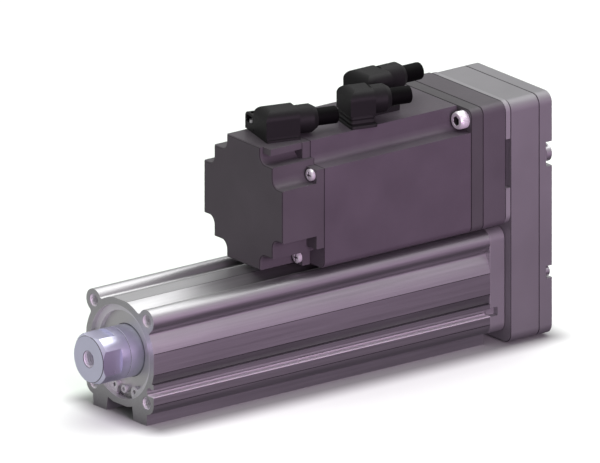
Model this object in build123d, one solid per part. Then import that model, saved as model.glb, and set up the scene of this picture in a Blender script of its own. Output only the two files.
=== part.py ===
"""Electric cylinder with its motor folded back over the body: every piece as its own solid.

The origin is the centre of the front mounting face, on the rod's axis. +X is the way the rod comes out and +Z is up.
All sizes are in millimetres, and all pieces stand at rest, with the rod drawn in.
"""

import os
from math import asin, cos, degrees, pi, radians, sin, sqrt

from build123d import *

os.makedirs("parts", exist_ok=True)

# Fits and clearances
SNUG = 0.02  # radial play of a piece that is held fast
RUNNING = 0.05  # radial play of a shaft or rod in its bush
CLEAR = 0.3  # play between pieces that pass each other
BELT_PLAY = 0.12  # play of a belt tooth in its groove

# Body tube, an extruded section
STROKE = 100.0
TUBE_HALF = 25.5  # from the axis to the flats
BARREL_RISE = 0.5  # how far the barrel's circle goes past the flats
BORE_WALL = 5.5
BOSS_R = 5.5
NOTCH_FILLET = 1.6
FOOT_RISE = 5.5  # from the tube's lower flat down to the sole of the feet
FOOT_IN = 10.2
FOOT_WIDTH = 9.9
FOOT_DRAFT = 0.8
CHEEK_TOP = 9.8  # the flat at each side starts this far below the axis
CHEEK_BOTTOM = 20.0
GROOVE_DROP = 14.0
GROOVE_R = 2.1
GROOVE_INSET = 3.1  # from the flat to the middle of the sensor groove
GROOVE_MOUTH = 3.5
KEYWAY_WIDTH = 6.0
KEYWAY_DEPTH = 2.0
MOUNT_HOLE_R = 3.0
MOUNT_HOLE_DEPTH = 10.0
HOLE_BEVEL = 0.2
EDGE_BREAK = 0.4
FOOT_HOLE_DEPTH = 8.5
FOOT_HOLE_HALF = 15.0  # from the middle plane to a hole in a foot
FOOT_HOLE_FIRST = 25.0
FOOT_HOLE_PITCH = 50.0
FOOT_HOLE_ROWS = 2

# Front end: rod cover with bushing and seal, held by a ring
FRONT_BORE_STEP = 2.6  # the front bore is this much wider than the main one
COVER_INSET = 4.7
COVER_LENGTH = 31.3
COVER_LIP = 2.5
SEAL_LENGTH = 4.0
SEAL_WALL = 3.5
BUSH_GAP = 2.5
BUSH_LENGTH = 20.0
BUSH_WALL = 2.5
RING_THICK = 2.2
RING_WIDTH = 3.2
RING_GROOVE = 0.9  # how deep the ring's groove goes into the bore's wall
RING_OPENING = 30.0  # degrees between the ring's ends
LUG_R = 2.5
LUG_HOLE_R = 1.0
LOCK_SCREW_R = 2.0
LOCK_SCREW_HEAD = 2.7
LOCK_SCREW_INSET = 4.0  # from the bore's wall to the middle of the lock screw
LOCK_SCREW_DEPTH = 2.2

# Rod and socket
ROD_R = 12.5
ROD_WALL = 4.0
SOCKET_REACH = 18.5  # how far the socket's tip stands before the front face
SOCKET_LENGTH = 15.4
SOCKET_BEVEL = 1.6
SPIGOT_LENGTH = 14.0
FLAT_HALF = 11.0
FLAT_LENGTH = 10.6
THREAD_R = 4.0
THREAD_DEPTH = 13.0

# Piston, nut and screw
END_GAP = 2.0  # room left before the piston at full stroke
PISTON_LENGTH = 46.0
PISTON_PLAY = 0.4
ROD_SEAT = 12.0
WEAR_WIDTH = 8.0
WEAR_THICK = 1.6
MAGNET_WIDTH = 4.0
MAGNET_THICK = 3.0
PISTON_LAND = 3.0  # from the piston's front to its first groove
STOPPER_LENGTH = 12.0
STOPPER_BASE = 2.5  # how deep the stopper sits in the piston
NUT_R = 11.0
NUT_FLANGE_R = 17.0
NUT_FLANGE = 4.0
SCREW_R = 6.0
SCREW_TIP_INSET = 20.0  # from the front face to the screw's tip
TIP_BUSH_LENGTH = 8.0
TIP_PIN_R = 4.0
BUMPER_GAP = 0.5
BUMPER_THICK = 2.5
BUMPER_INSET = 2.0
BUMPER_WALL = 6.0

# Bearing housing, the square block behind the tube
SPIGOT_DEPTH = 6.0  # how far the housing reaches into the tube
BLOCK_THICK = 8.7
BLOCK_CORNER = 5.2
BEARING_R = 13.0
BEARING_BORE_R = 5.0
BEARING_RACE = 2.4  # thickness of a race
BEARING_WIDTH = 6.8
STOPPER_RING_R = 18.0
STOPPER_RING_HOLE_R = 9.5
STOPPER_RING_THICK = 2.6
STOPPER_SCREW_R = 1.25
STOPPER_SCREW_HEAD_R = 2.2
STOPPER_SCREW_HEAD = 1.2
STOPPER_SCREW_LENGTH = 6.0
STOPPER_SCREW_CIRCLE_R = 15.4

# Belt drive
BELT_PITCH = 3.0
BELT_TEETH = 66
SCREW_TEETH = 30
MOTOR_TEETH = 24
BELT_WIDTH = 10.0
BELT_BACK = 0.9  # from the pitch line out to the belt's back
BELT_LAND = 0.38  # from the pitch line in to the belt's inner face
TOOTH_HEIGHT = 1.1
TOOTH_BASE = 1.9
TOOTH_TIP = 1.1
PULLEY_RIM = 0.9  # thickness of a pulley's side discs
PULLEY_RIM_RISE = 1.6
PULLEY_GAP = 2.2  # from the box's floor to the pulleys
NUT_LENGTH = 2.4
SCREW_STUB_R = 4.0

# Return box
BOX_LIFT = 1.0  # the box ends this far above the sole of the feet
BOX_DROP = 0.4  # and this far below the motor's top
BOX_CORNER = 5.0
BOX_THICK = 16.6
BOX_FLOOR = 3.0
COVER_THICK = 7.7
COVER_WALL = 4.0
CAVITY_R = 20.0
COVER_SCREW_R = 2.5
COVER_SCREW_HEAD_R = 4.25
COVER_SCREW_HEAD = 3.0
COVER_SCREW_INSET = 3.2  # from the box's side to the screw's middle
COVER_SCREW_LENGTH = 12.0
COVER_NOTCH_DEPTH = 3.8
COVER_NOTCH_HEIGHT = 12.0
SMALL_SCREW_R = 1.5
SMALL_SCREW_HEAD_R = 2.6
SMALL_SCREW_HEAD = 2.5
SMALL_SCREW_INSET = 2.6
SMALL_NOTCH_HEIGHT = 6.0
SMALL_SCREW_Z = 0.9
CORNER_SCREW_INSET = 4.5
CORNER_SCREW_R = 1.5
CORNER_SCREW_HEAD_R = 2.75
CORNER_SCREW_HEAD = 2.4
BODY_BOLT_R = 2.5
BODY_BOLT_HEAD_R = 4.25
BODY_BOLT_HEAD = 5.0
BODY_BOLT_BITE = 12.0  # how far the bolts reach into the tube

# Motor mount
PLATE_THICK = 3.1
PLATE_NOTCH_HEIGHT = 24.0
PLATE_NOTCH_DEPTH = 4.0
ADAPTER_THICK = 13.1
ADAPTER_BORE_R = 15.0
ADAPTER_SCREW_R = 2.0
ADAPTER_SCREW_HEAD_R = 3.2
ADAPTER_SCREW_HEAD = 1.8
ADAPTER_SCREW_BITE = 8.0
ADAPTER_SCREW_CIRCLE_R = 16.3
MOTOR_HALF = 30.0
MOTOR_CORNER = 3.5
FLANGE_THICK = 6.9
PILOT_INSET = 5.0  # from the motor's side to its pilot
PILOT_LENGTH = 3.0
MOTOR_BOLT_INSET = 5.25  # from the motor's sides to the middle of a screw
MOTOR_BOLT_R = 2.5
MOTOR_BOLT_HEAD_R = 4.25
MOTOR_BOLT_HEAD = 5.0
MOTOR_BOLT_BITE = 9.0

# Servo motor
HOUSING_LENGTH = 86.1
HOUSING_NOTCH = 10.7
HOUSING_FILLET = 3.5
HOUSING_WALL = 6.0
REAR_WALL = 9.0
SHAFT_R = 7.0
SHAFT_REACH = 30.0  # from the flange's face to the shaft's end
MOTOR_HUB_LENGTH = 12.0
SET_SCREW_R = 2.0
SET_SCREW_LENGTH = 3.4
MOTOR_BEARING_R = 13.0
MOTOR_BEARING_WIDTH = 6.6
RACE = 2.2
STATOR_RING = 8.5
STATOR_LENGTH = 48.0
STATOR_SLOTS = 12
SLOT_WIDTH = 3.6
SLOT_DEPTH = 4.6
WINDING_RISE = 4.0
ROTOR_GAP = 0.6
MAGNET_WALL = 3.0
BRAKE_INSET = 1.0  # play round the brake's armature
BRAKE_BORE_R = 11.0
BRAKE_COIL_LENGTH = 8.0
BRAKE_COIL_WALL = 3.2
BRAKE_PLATE = 2.2
BRAKE_DISC = 3.0
BRAKE_PLAY = 0.3
ENCODER_LENGTH = 24.4
ENCODER_BEVEL = 0.7
ENCODER_BAND = 4.6  # the fuller stretch next to the housing
ENCODER_STEP = 7.7  # the cover's section steps in by this much from the motor's sides
ENCODER_NOTCH = 17.2  # and its slim arms by this much
ENCODER_FILLET = 4.0
ENCODER_WALL = 2.0
PAD_HALF = 11.7  # the pad below the encoder's connector, from its middle to its side
PAD_SHIFT = 7.1
PAD_HEIGHT = 3.1
PAD_INSET = 1.6  # from the cover's end to the pad
ENCODER_BACK = 2.4
ENCODER_DISC_R = 14.0
ENCODER_DISC = 1.2
ENCODER_SHAFT_R = 3.0
BOARD_INSET = 3.3
BOARD_THICK = 1.6
BOARD_POST_R = 2.2
BOARD_POST_LENGTH = 7.0
PAN_HEAD_R = 2.8
PAN_EDGE = 0.2  # from a screw head to the edge of the arm below it
PAN_HEAD = 2.0
PAN_SCREW_R = 1.25

# Right-angle connectors on the motor
ENCODER_PLUG_BACK = 8.1  # from the motor's end to this connector's front
BRAKE_PLUG_BACK = 27.1  # from the housing's end
POWER_PLUG_BACK = 42.8
CABLE_R = 4.2
CABLE_LENGTH = 10.8
COLLAR_NECK = 2.6
COLLAR_TAPER = 1.6
PLUG_ROUND = 4.4
SEAT_LIP = 0.8  # how far a receptacle's flange stands out round its plug
SEAT_ROUND = 0.6
CONTACT_WALL = 2.2
EAR_WIDTH = 10.0
EAR_ROUND = 3.0
EAR_WALL = 1.3
EAR_FLOOR = 1.6
EAR_BACK = 1.0
EAR_HEIGHT = 6.4
EAR_THICK = 5.0
EAR_SCREW_R = 1.25
EAR_SCREW_HEAD_R = 1.8
EAR_SCREW_HEAD = 1.6

# Sizes across the tube, all from its flats
BARREL_R = TUBE_HALF + BARREL_RISE
BORE_R = TUBE_HALF - BORE_WALL
FRONT_BORE_R = BORE_R + FRONT_BORE_STEP
BUMPER_R = BORE_R - BUMPER_INSET
BUMPER_HOLE_R = BUMPER_R - BUMPER_WALL
BOLT_SPACING = 2 * (TUBE_HALF - BOSS_R)
FOOT_DROP = TUBE_HALF + FOOT_RISE

# Stations along the rod's axis, from front to rear
COVER_FRONT = -COVER_INSET
COVER_REAR = COVER_FRONT - COVER_LENGTH
PISTON_FRONT = COVER_REAR - END_GAP - STROKE
PISTON_REAR = PISTON_FRONT - PISTON_LENGTH
NUT_REAR = PISTON_REAR - NUT_FLANGE
BUMPER_FRONT = NUT_REAR - BUMPER_GAP
HOUSING_FRONT = BUMPER_FRONT - BUMPER_THICK
TUBE_REAR = HOUSING_FRONT - SPIGOT_DEPTH
BLOCK_REAR = TUBE_REAR - BLOCK_THICK
BEARING_FRONT = BLOCK_REAR + 2 * BEARING_WIDTH
FLOOR_REAR = BLOCK_REAR - BOX_FLOOR
PULLEY_FRONT = FLOOR_REAR - PULLEY_GAP
PULLEY_LENGTH = BELT_WIDTH + 2 * (PULLEY_RIM + CLEAR)
PULLEY_REAR = PULLEY_FRONT - PULLEY_LENGTH
BELT_FRONT = PULLEY_FRONT - PULLEY_RIM - CLEAR
BELT_REAR = BELT_FRONT - BELT_WIDTH
BOX_REAR = BLOCK_REAR - BOX_THICK
CYLINDER_REAR = BOX_REAR - COVER_THICK
PLATE_FRONT = BLOCK_REAR + PLATE_THICK
FLANGE_REAR = PLATE_FRONT + ADAPTER_THICK
FLANGE_FRONT = FLANGE_REAR + FLANGE_THICK
HOUSING_END = FLANGE_FRONT + HOUSING_LENGTH
MOTOR_END = HOUSING_END + ENCODER_LENGTH
SHAFT_END = FLANGE_REAR - SHAFT_REACH
SOCKET_SHOULDER = SOCKET_REACH - SOCKET_LENGTH

# Sizes across the motor and the box, all from the motor's flange
BOX_HALF = MOTOR_HALF
BOX_BOTTOM = FOOT_DROP - BOX_LIFT
PILOT_R = MOTOR_HALF - PILOT_INSET
HOUSING_BORE_R = MOTOR_HALF - HOUSING_WALL
STATOR_INNER_R = HOUSING_BORE_R - STATOR_RING
BRAKE_R = HOUSING_BORE_R - BRAKE_INSET
ENCODER_HALF_STEP = MOTOR_HALF - ENCODER_STEP
ENCODER_HALF_SLIM = MOTOR_HALF - ENCODER_NOTCH
BOARD_HALF = ENCODER_HALF_STEP - ENCODER_WALL - BOARD_INSET

# Belt geometry: two pitch circles and the distance at which the belt is tight
SCREW_PITCH_R = SCREW_TEETH * BELT_PITCH / (2 * pi)
MOTOR_PITCH_R = MOTOR_TEETH * BELT_PITCH / (2 * pi)
PITCH_STEP = SCREW_PITCH_R - MOTOR_PITCH_R
BELT_SPARE = BELT_TEETH * BELT_PITCH - pi * (SCREW_PITCH_R + MOTOR_PITCH_R)
MOTOR_Z = (BELT_SPARE + sqrt(BELT_SPARE**2 - 8 * PITCH_STEP**2)) / 4
BELT_LEAN = asin(PITCH_STEP / MOTOR_Z)
BOX_TOP = MOTOR_Z + MOTOR_HALF - BOX_DROP

ROD_BORE_R = ROD_R - ROD_WALL
PISTON_R = BORE_R - PISTON_PLAY
BOLT_POINTS = [(y, z) for y in (-BOLT_SPACING / 2, BOLT_SPACING / 2) for z in (-BOLT_SPACING / 2, BOLT_SPACING / 2)]
MOTOR_BOLT_HALF = MOTOR_HALF - MOTOR_BOLT_INSET
MOTOR_BOLT_POINTS = [(-MOTOR_BOLT_HALF, MOTOR_BOLT_HALF), (MOTOR_BOLT_HALF, MOTOR_BOLT_HALF)]


def across(x, y=0.0, z=0.0):
    """A plane square to the rod at x, its own axes along Y and Z."""
    return Plane(origin=(x, y, z), x_dir=(0, 1, 0), z_dir=(1, 0, 0))


def prism(profile, rear, front, z=0.0, y=0.0):
    """A profile drawn across the rod, run from one station to another."""
    return extrude(across(rear, y, z) * profile, front - rear)


def bar(radius, rear, front, z=0.0, y=0.0):
    return prism(Circle(radius), rear, front, z, y)


def tube(outer, inner, rear, front, z=0.0, y=0.0):
    return prism(Circle(outer) - Circle(inner), rear, front, z, y)


def eased(profile, rear, front, z=0.0):
    """A prism whose outer edges are broken at both ends, so that its seams show."""
    block = prism(profile, rear, front, z)
    ends = block.faces().sort_by(Axis.X)
    return chamfer(ends[0].edges() + ends[-1].edges(), EDGE_BREAK)


def group(solids):
    """Like pieces that share a node, each a solid of its own."""
    return Compound(children=list(solids))


def cap_screw(tip, seat, radius, head_r, head, y, z, toward=1):
    """A socket-head screw along the rod's direction: tip, seat of the head, and which way the head faces."""
    shank = bar(radius, min(tip, seat), max(tip, seat), z, y)
    top = seat + toward * head
    cap = bar(head_r, min(seat, top), max(seat, top), z, y)
    rim = cap.edges().filter_by(GeomType.CIRCLE).sort_by(Axis.X)[-1 if toward > 0 else 0]
    cap = chamfer(rim, head / 10)
    socket_floor = top - toward * head / 2
    socket = prism(RegularPolygon(head_r / 2, 6), min(socket_floor, top), max(socket_floor, top), z, y)
    return shank + cap - socket


def foot(side):
    """Section of one foot, with a little draft, down to its flat sole."""
    top = -BOLT_SPACING / 2
    inner = FOOT_IN
    outer = FOOT_IN + FOOT_WIDTH
    corners = [
        (side * (inner - 2 * FOOT_DRAFT), top),
        (side * inner, -FOOT_DROP),
        (side * outer, -FOOT_DROP),
        (side * (outer + FOOT_DRAFT), top),
    ]
    return make_face(Polyline(*corners, close=True))


def side_groove(side):
    """Section of the sensor groove: round inside with a narrower mouth."""
    middle = TUBE_HALF - GROOVE_INSET
    mouth = Rectangle(2 * GROOVE_INSET, GROOVE_MOUTH)
    return Pos(side * middle, -GROOVE_DROP) * (Circle(GROOVE_R) + Pos(side * GROOVE_INSET, 0) * mouth)


def tube_section():
    """Outer section of the body: a trimmed barrel with four bosses, two cheeks and two feet."""
    outline = Circle(BARREL_R) & Rectangle(2 * TUBE_HALF, 2 * TUBE_HALF)
    for y, z in BOLT_POINTS:
        outline += Pos(y, z) * Circle(BOSS_R)
    meets_barrel = [
        v for v in outline.vertices() if min(abs(v.X), abs(v.Y)) > BOLT_SPACING / 4
    ]
    outline = fillet(meets_barrel, NOTCH_FILLET)
    cheek = Rectangle(BOSS_R, CHEEK_BOTTOM - CHEEK_TOP)
    for side in (-1, 1):
        outline += Pos(side * (TUBE_HALF - BOSS_R / 2), -(CHEEK_TOP + CHEEK_BOTTOM) / 2) * cheek
        outline += foot(side)
    for side in (-1, 1):
        outline -= side_groove(side)
    return outline


def keyway():
    """Section of the two slots in the bore that keep the piston from turning."""
    return Rectangle(KEYWAY_WIDTH, 2 * (BORE_R + KEYWAY_DEPTH))


def threaded_hole(y, z, mouth, depth, radius, inward):
    """A blind tapped hole along the rod's direction with a small bevel at its mouth."""
    floor = mouth + inward * depth
    hole = bar(radius, min(mouth, floor), max(mouth, floor), z, y)
    rim = Plane(origin=(mouth, y, z), x_dir=(0, 1, 0), z_dir=(inward, 0, 0))
    return hole + loft([rim * Circle(radius + HOLE_BEVEL), rim.offset(HOLE_BEVEL) * Circle(radius)])


def make_body_tube():
    body = prism(tube_section(), TUBE_REAR, 0)
    body -= prism(Circle(BORE_R) + keyway(), TUBE_REAR, 0)
    body -= bar(FRONT_BORE_R, COVER_REAR, 0)
    ring_front = COVER_FRONT + RING_THICK
    body -= bar(FRONT_BORE_R + RING_GROOVE, COVER_FRONT, ring_front)
    for y, z in BOLT_POINTS:
        body -= threaded_hole(y, z, 0, MOUNT_HOLE_DEPTH, MOUNT_HOLE_R, -1)
        body -= threaded_hole(y, z, TUBE_REAR, BODY_BOLT_BITE + 1, BODY_BOLT_R, 1)
    for step in range(FOOT_HOLE_ROWS):
        for side in (-1, 1):
            x = -FOOT_HOLE_FIRST - step * FOOT_HOLE_PITCH
            sole = Plane(origin=(x, side * FOOT_HOLE_HALF, -FOOT_DROP), z_dir=(0, 0, 1))
            body -= extrude(sole * Circle(MOUNT_HOLE_R), FOOT_HOLE_DEPTH)
    return body


def make_rod_cover():
    """Round cover in the front bore, hollowed for the seal and the bushing."""
    cover = bar(FRONT_BORE_R - SNUG, COVER_REAR, COVER_FRONT)
    seal_r = ROD_R + SEAL_WALL
    bush_r = ROD_R + BUSH_WALL
    cover -= bar(ROD_R + CLEAR, COVER_REAR, COVER_FRONT)
    cover -= bar(seal_r, COVER_FRONT - COVER_LIP - SEAL_LENGTH, COVER_FRONT - COVER_LIP)
    cover -= bar(bush_r, COVER_REAR, COVER_FRONT - COVER_LIP - SEAL_LENGTH - BUSH_GAP)
    screw_z = LOCK_SCREW_INSET - FRONT_BORE_R
    cover -= bar(LOCK_SCREW_R - HOLE_BEVEL, COVER_FRONT - LOCK_SCREW_DEPTH, COVER_FRONT, screw_z)
    mouth = cover.edges().filter_by(GeomType.CIRCLE).sort_by(Axis.X)[-3:].sort_by(SortBy.RADIUS)[-1]
    return chamfer(mouth, 2 * HOLE_BEVEL)


def make_lock_screw():
    """Small screw in the cover's face between the lugs, which keeps the ring from turning."""
    screw_z = LOCK_SCREW_INSET - FRONT_BORE_R
    tip = COVER_FRONT - LOCK_SCREW_DEPTH
    return cap_screw(tip, COVER_FRONT, LOCK_SCREW_R - HOLE_BEVEL, LOCK_SCREW_R, LOCK_SCREW_HEAD, 0, screw_z)


def make_rod_seal():
    front = COVER_FRONT - COVER_LIP
    seal = tube(ROD_R + SEAL_WALL - SNUG, ROD_R + RUNNING, front - SEAL_LENGTH, front)
    lip_gap = tube(ROD_R + SEAL_WALL / 2 + CLEAR, ROD_R + SEAL_WALL / 2 - CLEAR, front - SEAL_LENGTH, front - SEAL_LENGTH / 2)
    return seal - lip_gap


def make_rod_bushing():
    front = COVER_FRONT - COVER_LIP - SEAL_LENGTH - BUSH_GAP
    return tube(ROD_R + BUSH_WALL - SNUG, ROD_R + RUNNING, front - BUSH_LENGTH, front)


def make_retaining_ring():
    """Open ring in the bore's groove, with a drilled lug at each end."""
    rear = COVER_FRONT
    front = rear + RING_THICK
    outer = FRONT_BORE_R + RING_GROOVE - SNUG
    middle = FRONT_BORE_R - RING_WIDTH / 2
    reach = 2 * outer
    half = radians(RING_OPENING / 2)
    wedge = make_face(Polyline((0, 0), (-reach * sin(half), -reach * cos(half)), (reach * sin(half), -reach * cos(half)), close=True))
    profile = Circle(outer) - Circle(FRONT_BORE_R - RING_WIDTH) - wedge
    lug_angle = half + asin(LUG_R / middle) * 1.1
    lug_middle = middle - LUG_R / 2
    for side in (-1, 1):
        place = Pos(side * lug_middle * sin(lug_angle), -lug_middle * cos(lug_angle))
        profile += place * Circle(LUG_R)
        profile -= place * Circle(LUG_HOLE_R)
    return prism(profile, rear, front)


def make_rod_socket():
    """Steel rod end: chamfered nose with four wrench flats, a tapped hole and a spigot in the rod."""
    socket = bar(ROD_R, SOCKET_SHOULDER, SOCKET_REACH)
    nose = socket.edges().filter_by(GeomType.CIRCLE).sort_by(Axis.X)[-1]
    socket = chamfer(nose, SOCKET_BEVEL)
    flats = prism(Rectangle(2 * FLAT_HALF, 2 * FLAT_HALF), SOCKET_REACH - FLAT_LENGTH, SOCKET_REACH)
    back = bar(ROD_R, SOCKET_SHOULDER, SOCKET_REACH - FLAT_LENGTH)
    socket = socket & (flats + back)
    socket += bar(ROD_BORE_R - SNUG, SOCKET_SHOULDER - SPIGOT_LENGTH, SOCKET_SHOULDER)
    return socket - threaded_hole(0, 0, SOCKET_REACH, THREAD_DEPTH, THREAD_R, -1)


def make_piston_rod():
    rod = tube(ROD_R, ROD_BORE_R, PISTON_FRONT - ROD_SEAT, SOCKET_SHOULDER)
    end = rod.edges().filter_by(GeomType.CIRCLE).sort_by(Axis.X)[-2:].sort_by(SortBy.RADIUS)[-1]
    return chamfer(end, EDGE_BREAK)


def groove_front(number):
    """Front edge of the piston's wear ring groove (0) or magnet groove (1)."""
    return PISTON_FRONT - PISTON_LAND - number * (WEAR_WIDTH + PISTON_LAND)


def stopper_front():
    return groove_front(1) - MAGNET_WIDTH - PISTON_LAND


def stopper_profile(play=0.0):
    """Section of the bar that crosses the piston and runs in both slots of the bore."""
    width = KEYWAY_WIDTH - 2 * CLEAR + 2 * play
    reach = 2 * (BORE_R + KEYWAY_DEPTH - CLEAR)
    return Rectangle(width, reach) - Circle(PISTON_R - STOPPER_BASE)


def make_piston():
    """Sleeve that joins the rod to the ball nut, with grooves for its rings."""
    piston = bar(PISTON_R, PISTON_REAR, PISTON_FRONT)
    piston -= bar(ROD_R, PISTON_FRONT - ROD_SEAT, PISTON_FRONT)
    piston -= bar(NUT_R, PISTON_REAR, PISTON_FRONT - ROD_SEAT)
    wear = groove_front(0)
    piston -= tube(PISTON_R + CLEAR, BORE_R - CLEAR - WEAR_THICK, wear - WEAR_WIDTH, wear)
    magnet = groove_front(1)
    piston -= tube(PISTON_R + CLEAR, PISTON_R - MAGNET_THICK, magnet - MAGNET_WIDTH, magnet)
    stopper = stopper_front()
    return piston - prism(stopper_profile(), stopper - STOPPER_LENGTH, stopper)


def make_wear_ring():
    front = groove_front(0)
    return tube(BORE_R - RUNNING, BORE_R - CLEAR - WEAR_THICK, front - WEAR_WIDTH, front)


def make_piston_magnet():
    front = groove_front(1)
    return tube(PISTON_R, PISTON_R - MAGNET_THICK, front - MAGNET_WIDTH, front)


def make_rotation_stopper():
    front = stopper_front()
    return prism(stopper_profile(), front - STOPPER_LENGTH, front)


def make_ball_nut():
    nut = bar(NUT_R - SNUG, PISTON_REAR, PISTON_FRONT - ROD_SEAT)
    nut += bar(NUT_FLANGE_R, NUT_REAR, PISTON_REAR)
    return nut - bar(SCREW_R + RUNNING, NUT_REAR, PISTON_FRONT)


def make_ball_screw():
    """Screw with a pin for the tip bush, a neck in the bearings and a stub for the pulley."""
    tip = -SCREW_TIP_INSET
    screw = bar(SCREW_R, BEARING_FRONT, tip - TIP_BUSH_LENGTH)
    screw += bar(TIP_PIN_R, tip - TIP_BUSH_LENGTH, tip)
    screw += bar(BEARING_BORE_R, PULLEY_FRONT, BEARING_FRONT)
    return screw + bar(SCREW_STUB_R, PULLEY_REAR - NUT_LENGTH + CLEAR, PULLEY_FRONT)


def make_screw_tip_bush():
    tip = -SCREW_TIP_INSET
    return tube(ROD_BORE_R - RUNNING, TIP_PIN_R, tip - TIP_BUSH_LENGTH, tip)


def make_rear_bumper():
    """Rubber washer in front of the housing, open for the keys of the bore."""
    return tube(BUMPER_R, BUMPER_HOLE_R, HOUSING_FRONT, BUMPER_FRONT)


def make_bearing_housing():
    """Square block behind the tube, with a spigot in its bore and a pocket for two bearings."""
    outline = RectangleRounded(2 * TUBE_HALF, 2 * TUBE_HALF, BLOCK_CORNER)
    block = eased(outline, BLOCK_REAR, TUBE_REAR)
    block += bar(BORE_R - SNUG, TUBE_REAR, HOUSING_FRONT)
    block -= bar(BEARING_R, BLOCK_REAR, BEARING_FRONT)
    block -= bar(BEARING_R - BEARING_RACE, BEARING_FRONT, HOUSING_FRONT)
    for side in (-1, 1):
        pocket = Pos(side * TUBE_HALF, -GROOVE_DROP) * Rectangle(2 * GROOVE_INSET, 2 * GROOVE_R)
        block -= prism(pocket, TUBE_REAR - BLOCK_THICK / 2, TUBE_REAR)
    for y, z in BOLT_POINTS:
        block -= bar(BODY_BOLT_R + CLEAR, BLOCK_REAR, TUBE_REAR, z, y)
    for y, z in stopper_screw_points():
        block -= bar(STOPPER_SCREW_R, BLOCK_REAR - SNUG, BLOCK_REAR + STOPPER_SCREW_LENGTH, z, y)
    return block


def raceway(middle, reach, centre, z):
    """Room for the balls between two races: a ring with sloping sides, so each race keeps its shoulders."""
    corners = [
        (centre - reach, middle),
        (centre - reach / 2, middle + reach),
        (centre + reach / 2, middle + reach),
        (centre + reach, middle),
        (centre + reach / 2, middle - reach),
        (centre - reach / 2, middle - reach),
    ]
    axis_plane = Plane(origin=(0, 0, z), x_dir=(1, 0, 0), z_dir=(0, -1, 0))
    section = axis_plane * make_face(Polyline(*corners, close=True))
    return revolve(section, Axis((0, 0, z), (1, 0, 0)))


def bearing_races(outer, bore, width, race, front, count, z=0.0):
    """Outer and inner races of a row of ball bearings, each with a groove for the balls."""
    ball = (outer - bore) / 2 - race / 2
    outers = []
    inners = []
    for number in range(count):
        start = front - number * width
        groove = raceway((outer + bore) / 2, ball, start - width / 2, z)
        outers.append(tube(outer - SNUG, outer - race, start - width, start, z) - groove)
        inners.append(tube(bore + race, bore, start - width, start, z) - groove)
    return outers, inners


def make_screw_bearings():
    return bearing_races(BEARING_R, BEARING_BORE_R, BEARING_WIDTH, BEARING_RACE, BEARING_FRONT, 2)


def stopper_screw_points():
    """Four screws of the bearing stopper, straight above, below and beside the screw."""
    reach = STOPPER_SCREW_CIRCLE_R
    return [(reach, 0), (-reach, 0), (0, reach), (0, -reach)]


def make_bearing_stopper():
    rear = BLOCK_REAR - STOPPER_RING_THICK
    plate = tube(STOPPER_RING_R, STOPPER_RING_HOLE_R, rear, BLOCK_REAR)
    for y, z in stopper_screw_points():
        plate -= bar(STOPPER_SCREW_R, rear, BLOCK_REAR, z, y)
    return plate


def make_bearing_stopper_screws():
    seat = BLOCK_REAR - STOPPER_RING_THICK
    tip = BLOCK_REAR + STOPPER_SCREW_LENGTH - CLEAR
    return group(
        cap_screw(tip, seat, STOPPER_SCREW_R - SNUG, STOPPER_SCREW_HEAD_R, STOPPER_SCREW_HEAD, y, z, toward=-1)
        for y, z in stopper_screw_points()
    )


def tooth_profile(pitch_r, play=0.0):
    """Section of one belt tooth at the top of a pulley, grown by the play it has in its groove."""
    land = pitch_r - BELT_LAND
    foot_z = land + TOOTH_HEIGHT
    tip_z = land - TOOTH_HEIGHT - play
    slope = (TOOTH_BASE - TOOTH_TIP) / (2 * TOOTH_HEIGHT)
    foot_half = TOOTH_BASE / 2 + play + slope * TOOTH_HEIGHT
    tip_half = TOOTH_TIP / 2 + play
    return make_face(Polyline((-foot_half, foot_z), (foot_half, foot_z), (tip_half, tip_z), (-tip_half, tip_z), close=True))


def toothed_profile(teeth, pitch_r, first_angle):
    """Section of a pulley: its outer circle with one groove for each tooth."""
    profile = Circle(pitch_r - BELT_LAND - RUNNING)
    groove = tooth_profile(pitch_r, BELT_PLAY)
    return profile - [Rot(0, 0, first_angle + number * 360 / teeth) * groove for number in range(teeth)]


def pulley(teeth, pitch_r, first_angle, z):
    """Toothed pulley with a side disc at each end."""
    wheel = prism(toothed_profile(teeth, pitch_r, first_angle), PULLEY_REAR, PULLEY_FRONT, z)
    rim_r = pitch_r + PULLEY_RIM_RISE
    wheel += bar(rim_r, PULLEY_FRONT - PULLEY_RIM, PULLEY_FRONT, z)
    return wheel + bar(rim_r, PULLEY_REAR, PULLEY_REAR + PULLEY_RIM, z)


def make_screw_pulley():
    return pulley(SCREW_TEETH, SCREW_PITCH_R, 180, 0) - bar(SCREW_STUB_R, PULLEY_REAR, PULLEY_FRONT)


def make_pulley_nut():
    """Hexagon nut on the screw's stub, behind the pulley."""
    outline = RegularPolygon(2 * SCREW_STUB_R, 6) - Circle(SCREW_STUB_R)
    return prism(outline, PULLEY_REAR - NUT_LENGTH, PULLEY_REAR)


def make_motor_pulley():
    wheel = pulley(MOTOR_TEETH, MOTOR_PITCH_R, 0, MOTOR_Z)
    hub_front = PULLEY_FRONT + MOTOR_HUB_LENGTH
    wheel += bar(MOTOR_PITCH_R, PULLEY_FRONT, hub_front, MOTOR_Z)
    wheel -= bar(SHAFT_R, PULLEY_REAR, hub_front, MOTOR_Z)
    return wheel - set_screw(SET_SCREW_R, SET_SCREW_LENGTH + SHAFT_R)


def set_screw(radius, length):
    """A grub screw that stands square on the motor shaft, in the pulley's hub."""
    middle = PULLEY_FRONT + MOTOR_HUB_LENGTH * 2 / 3
    seat = Plane(origin=(middle, 0, MOTOR_Z + SHAFT_R), z_dir=(0, 0, 1))
    return extrude(seat * Circle(radius), length)


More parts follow.
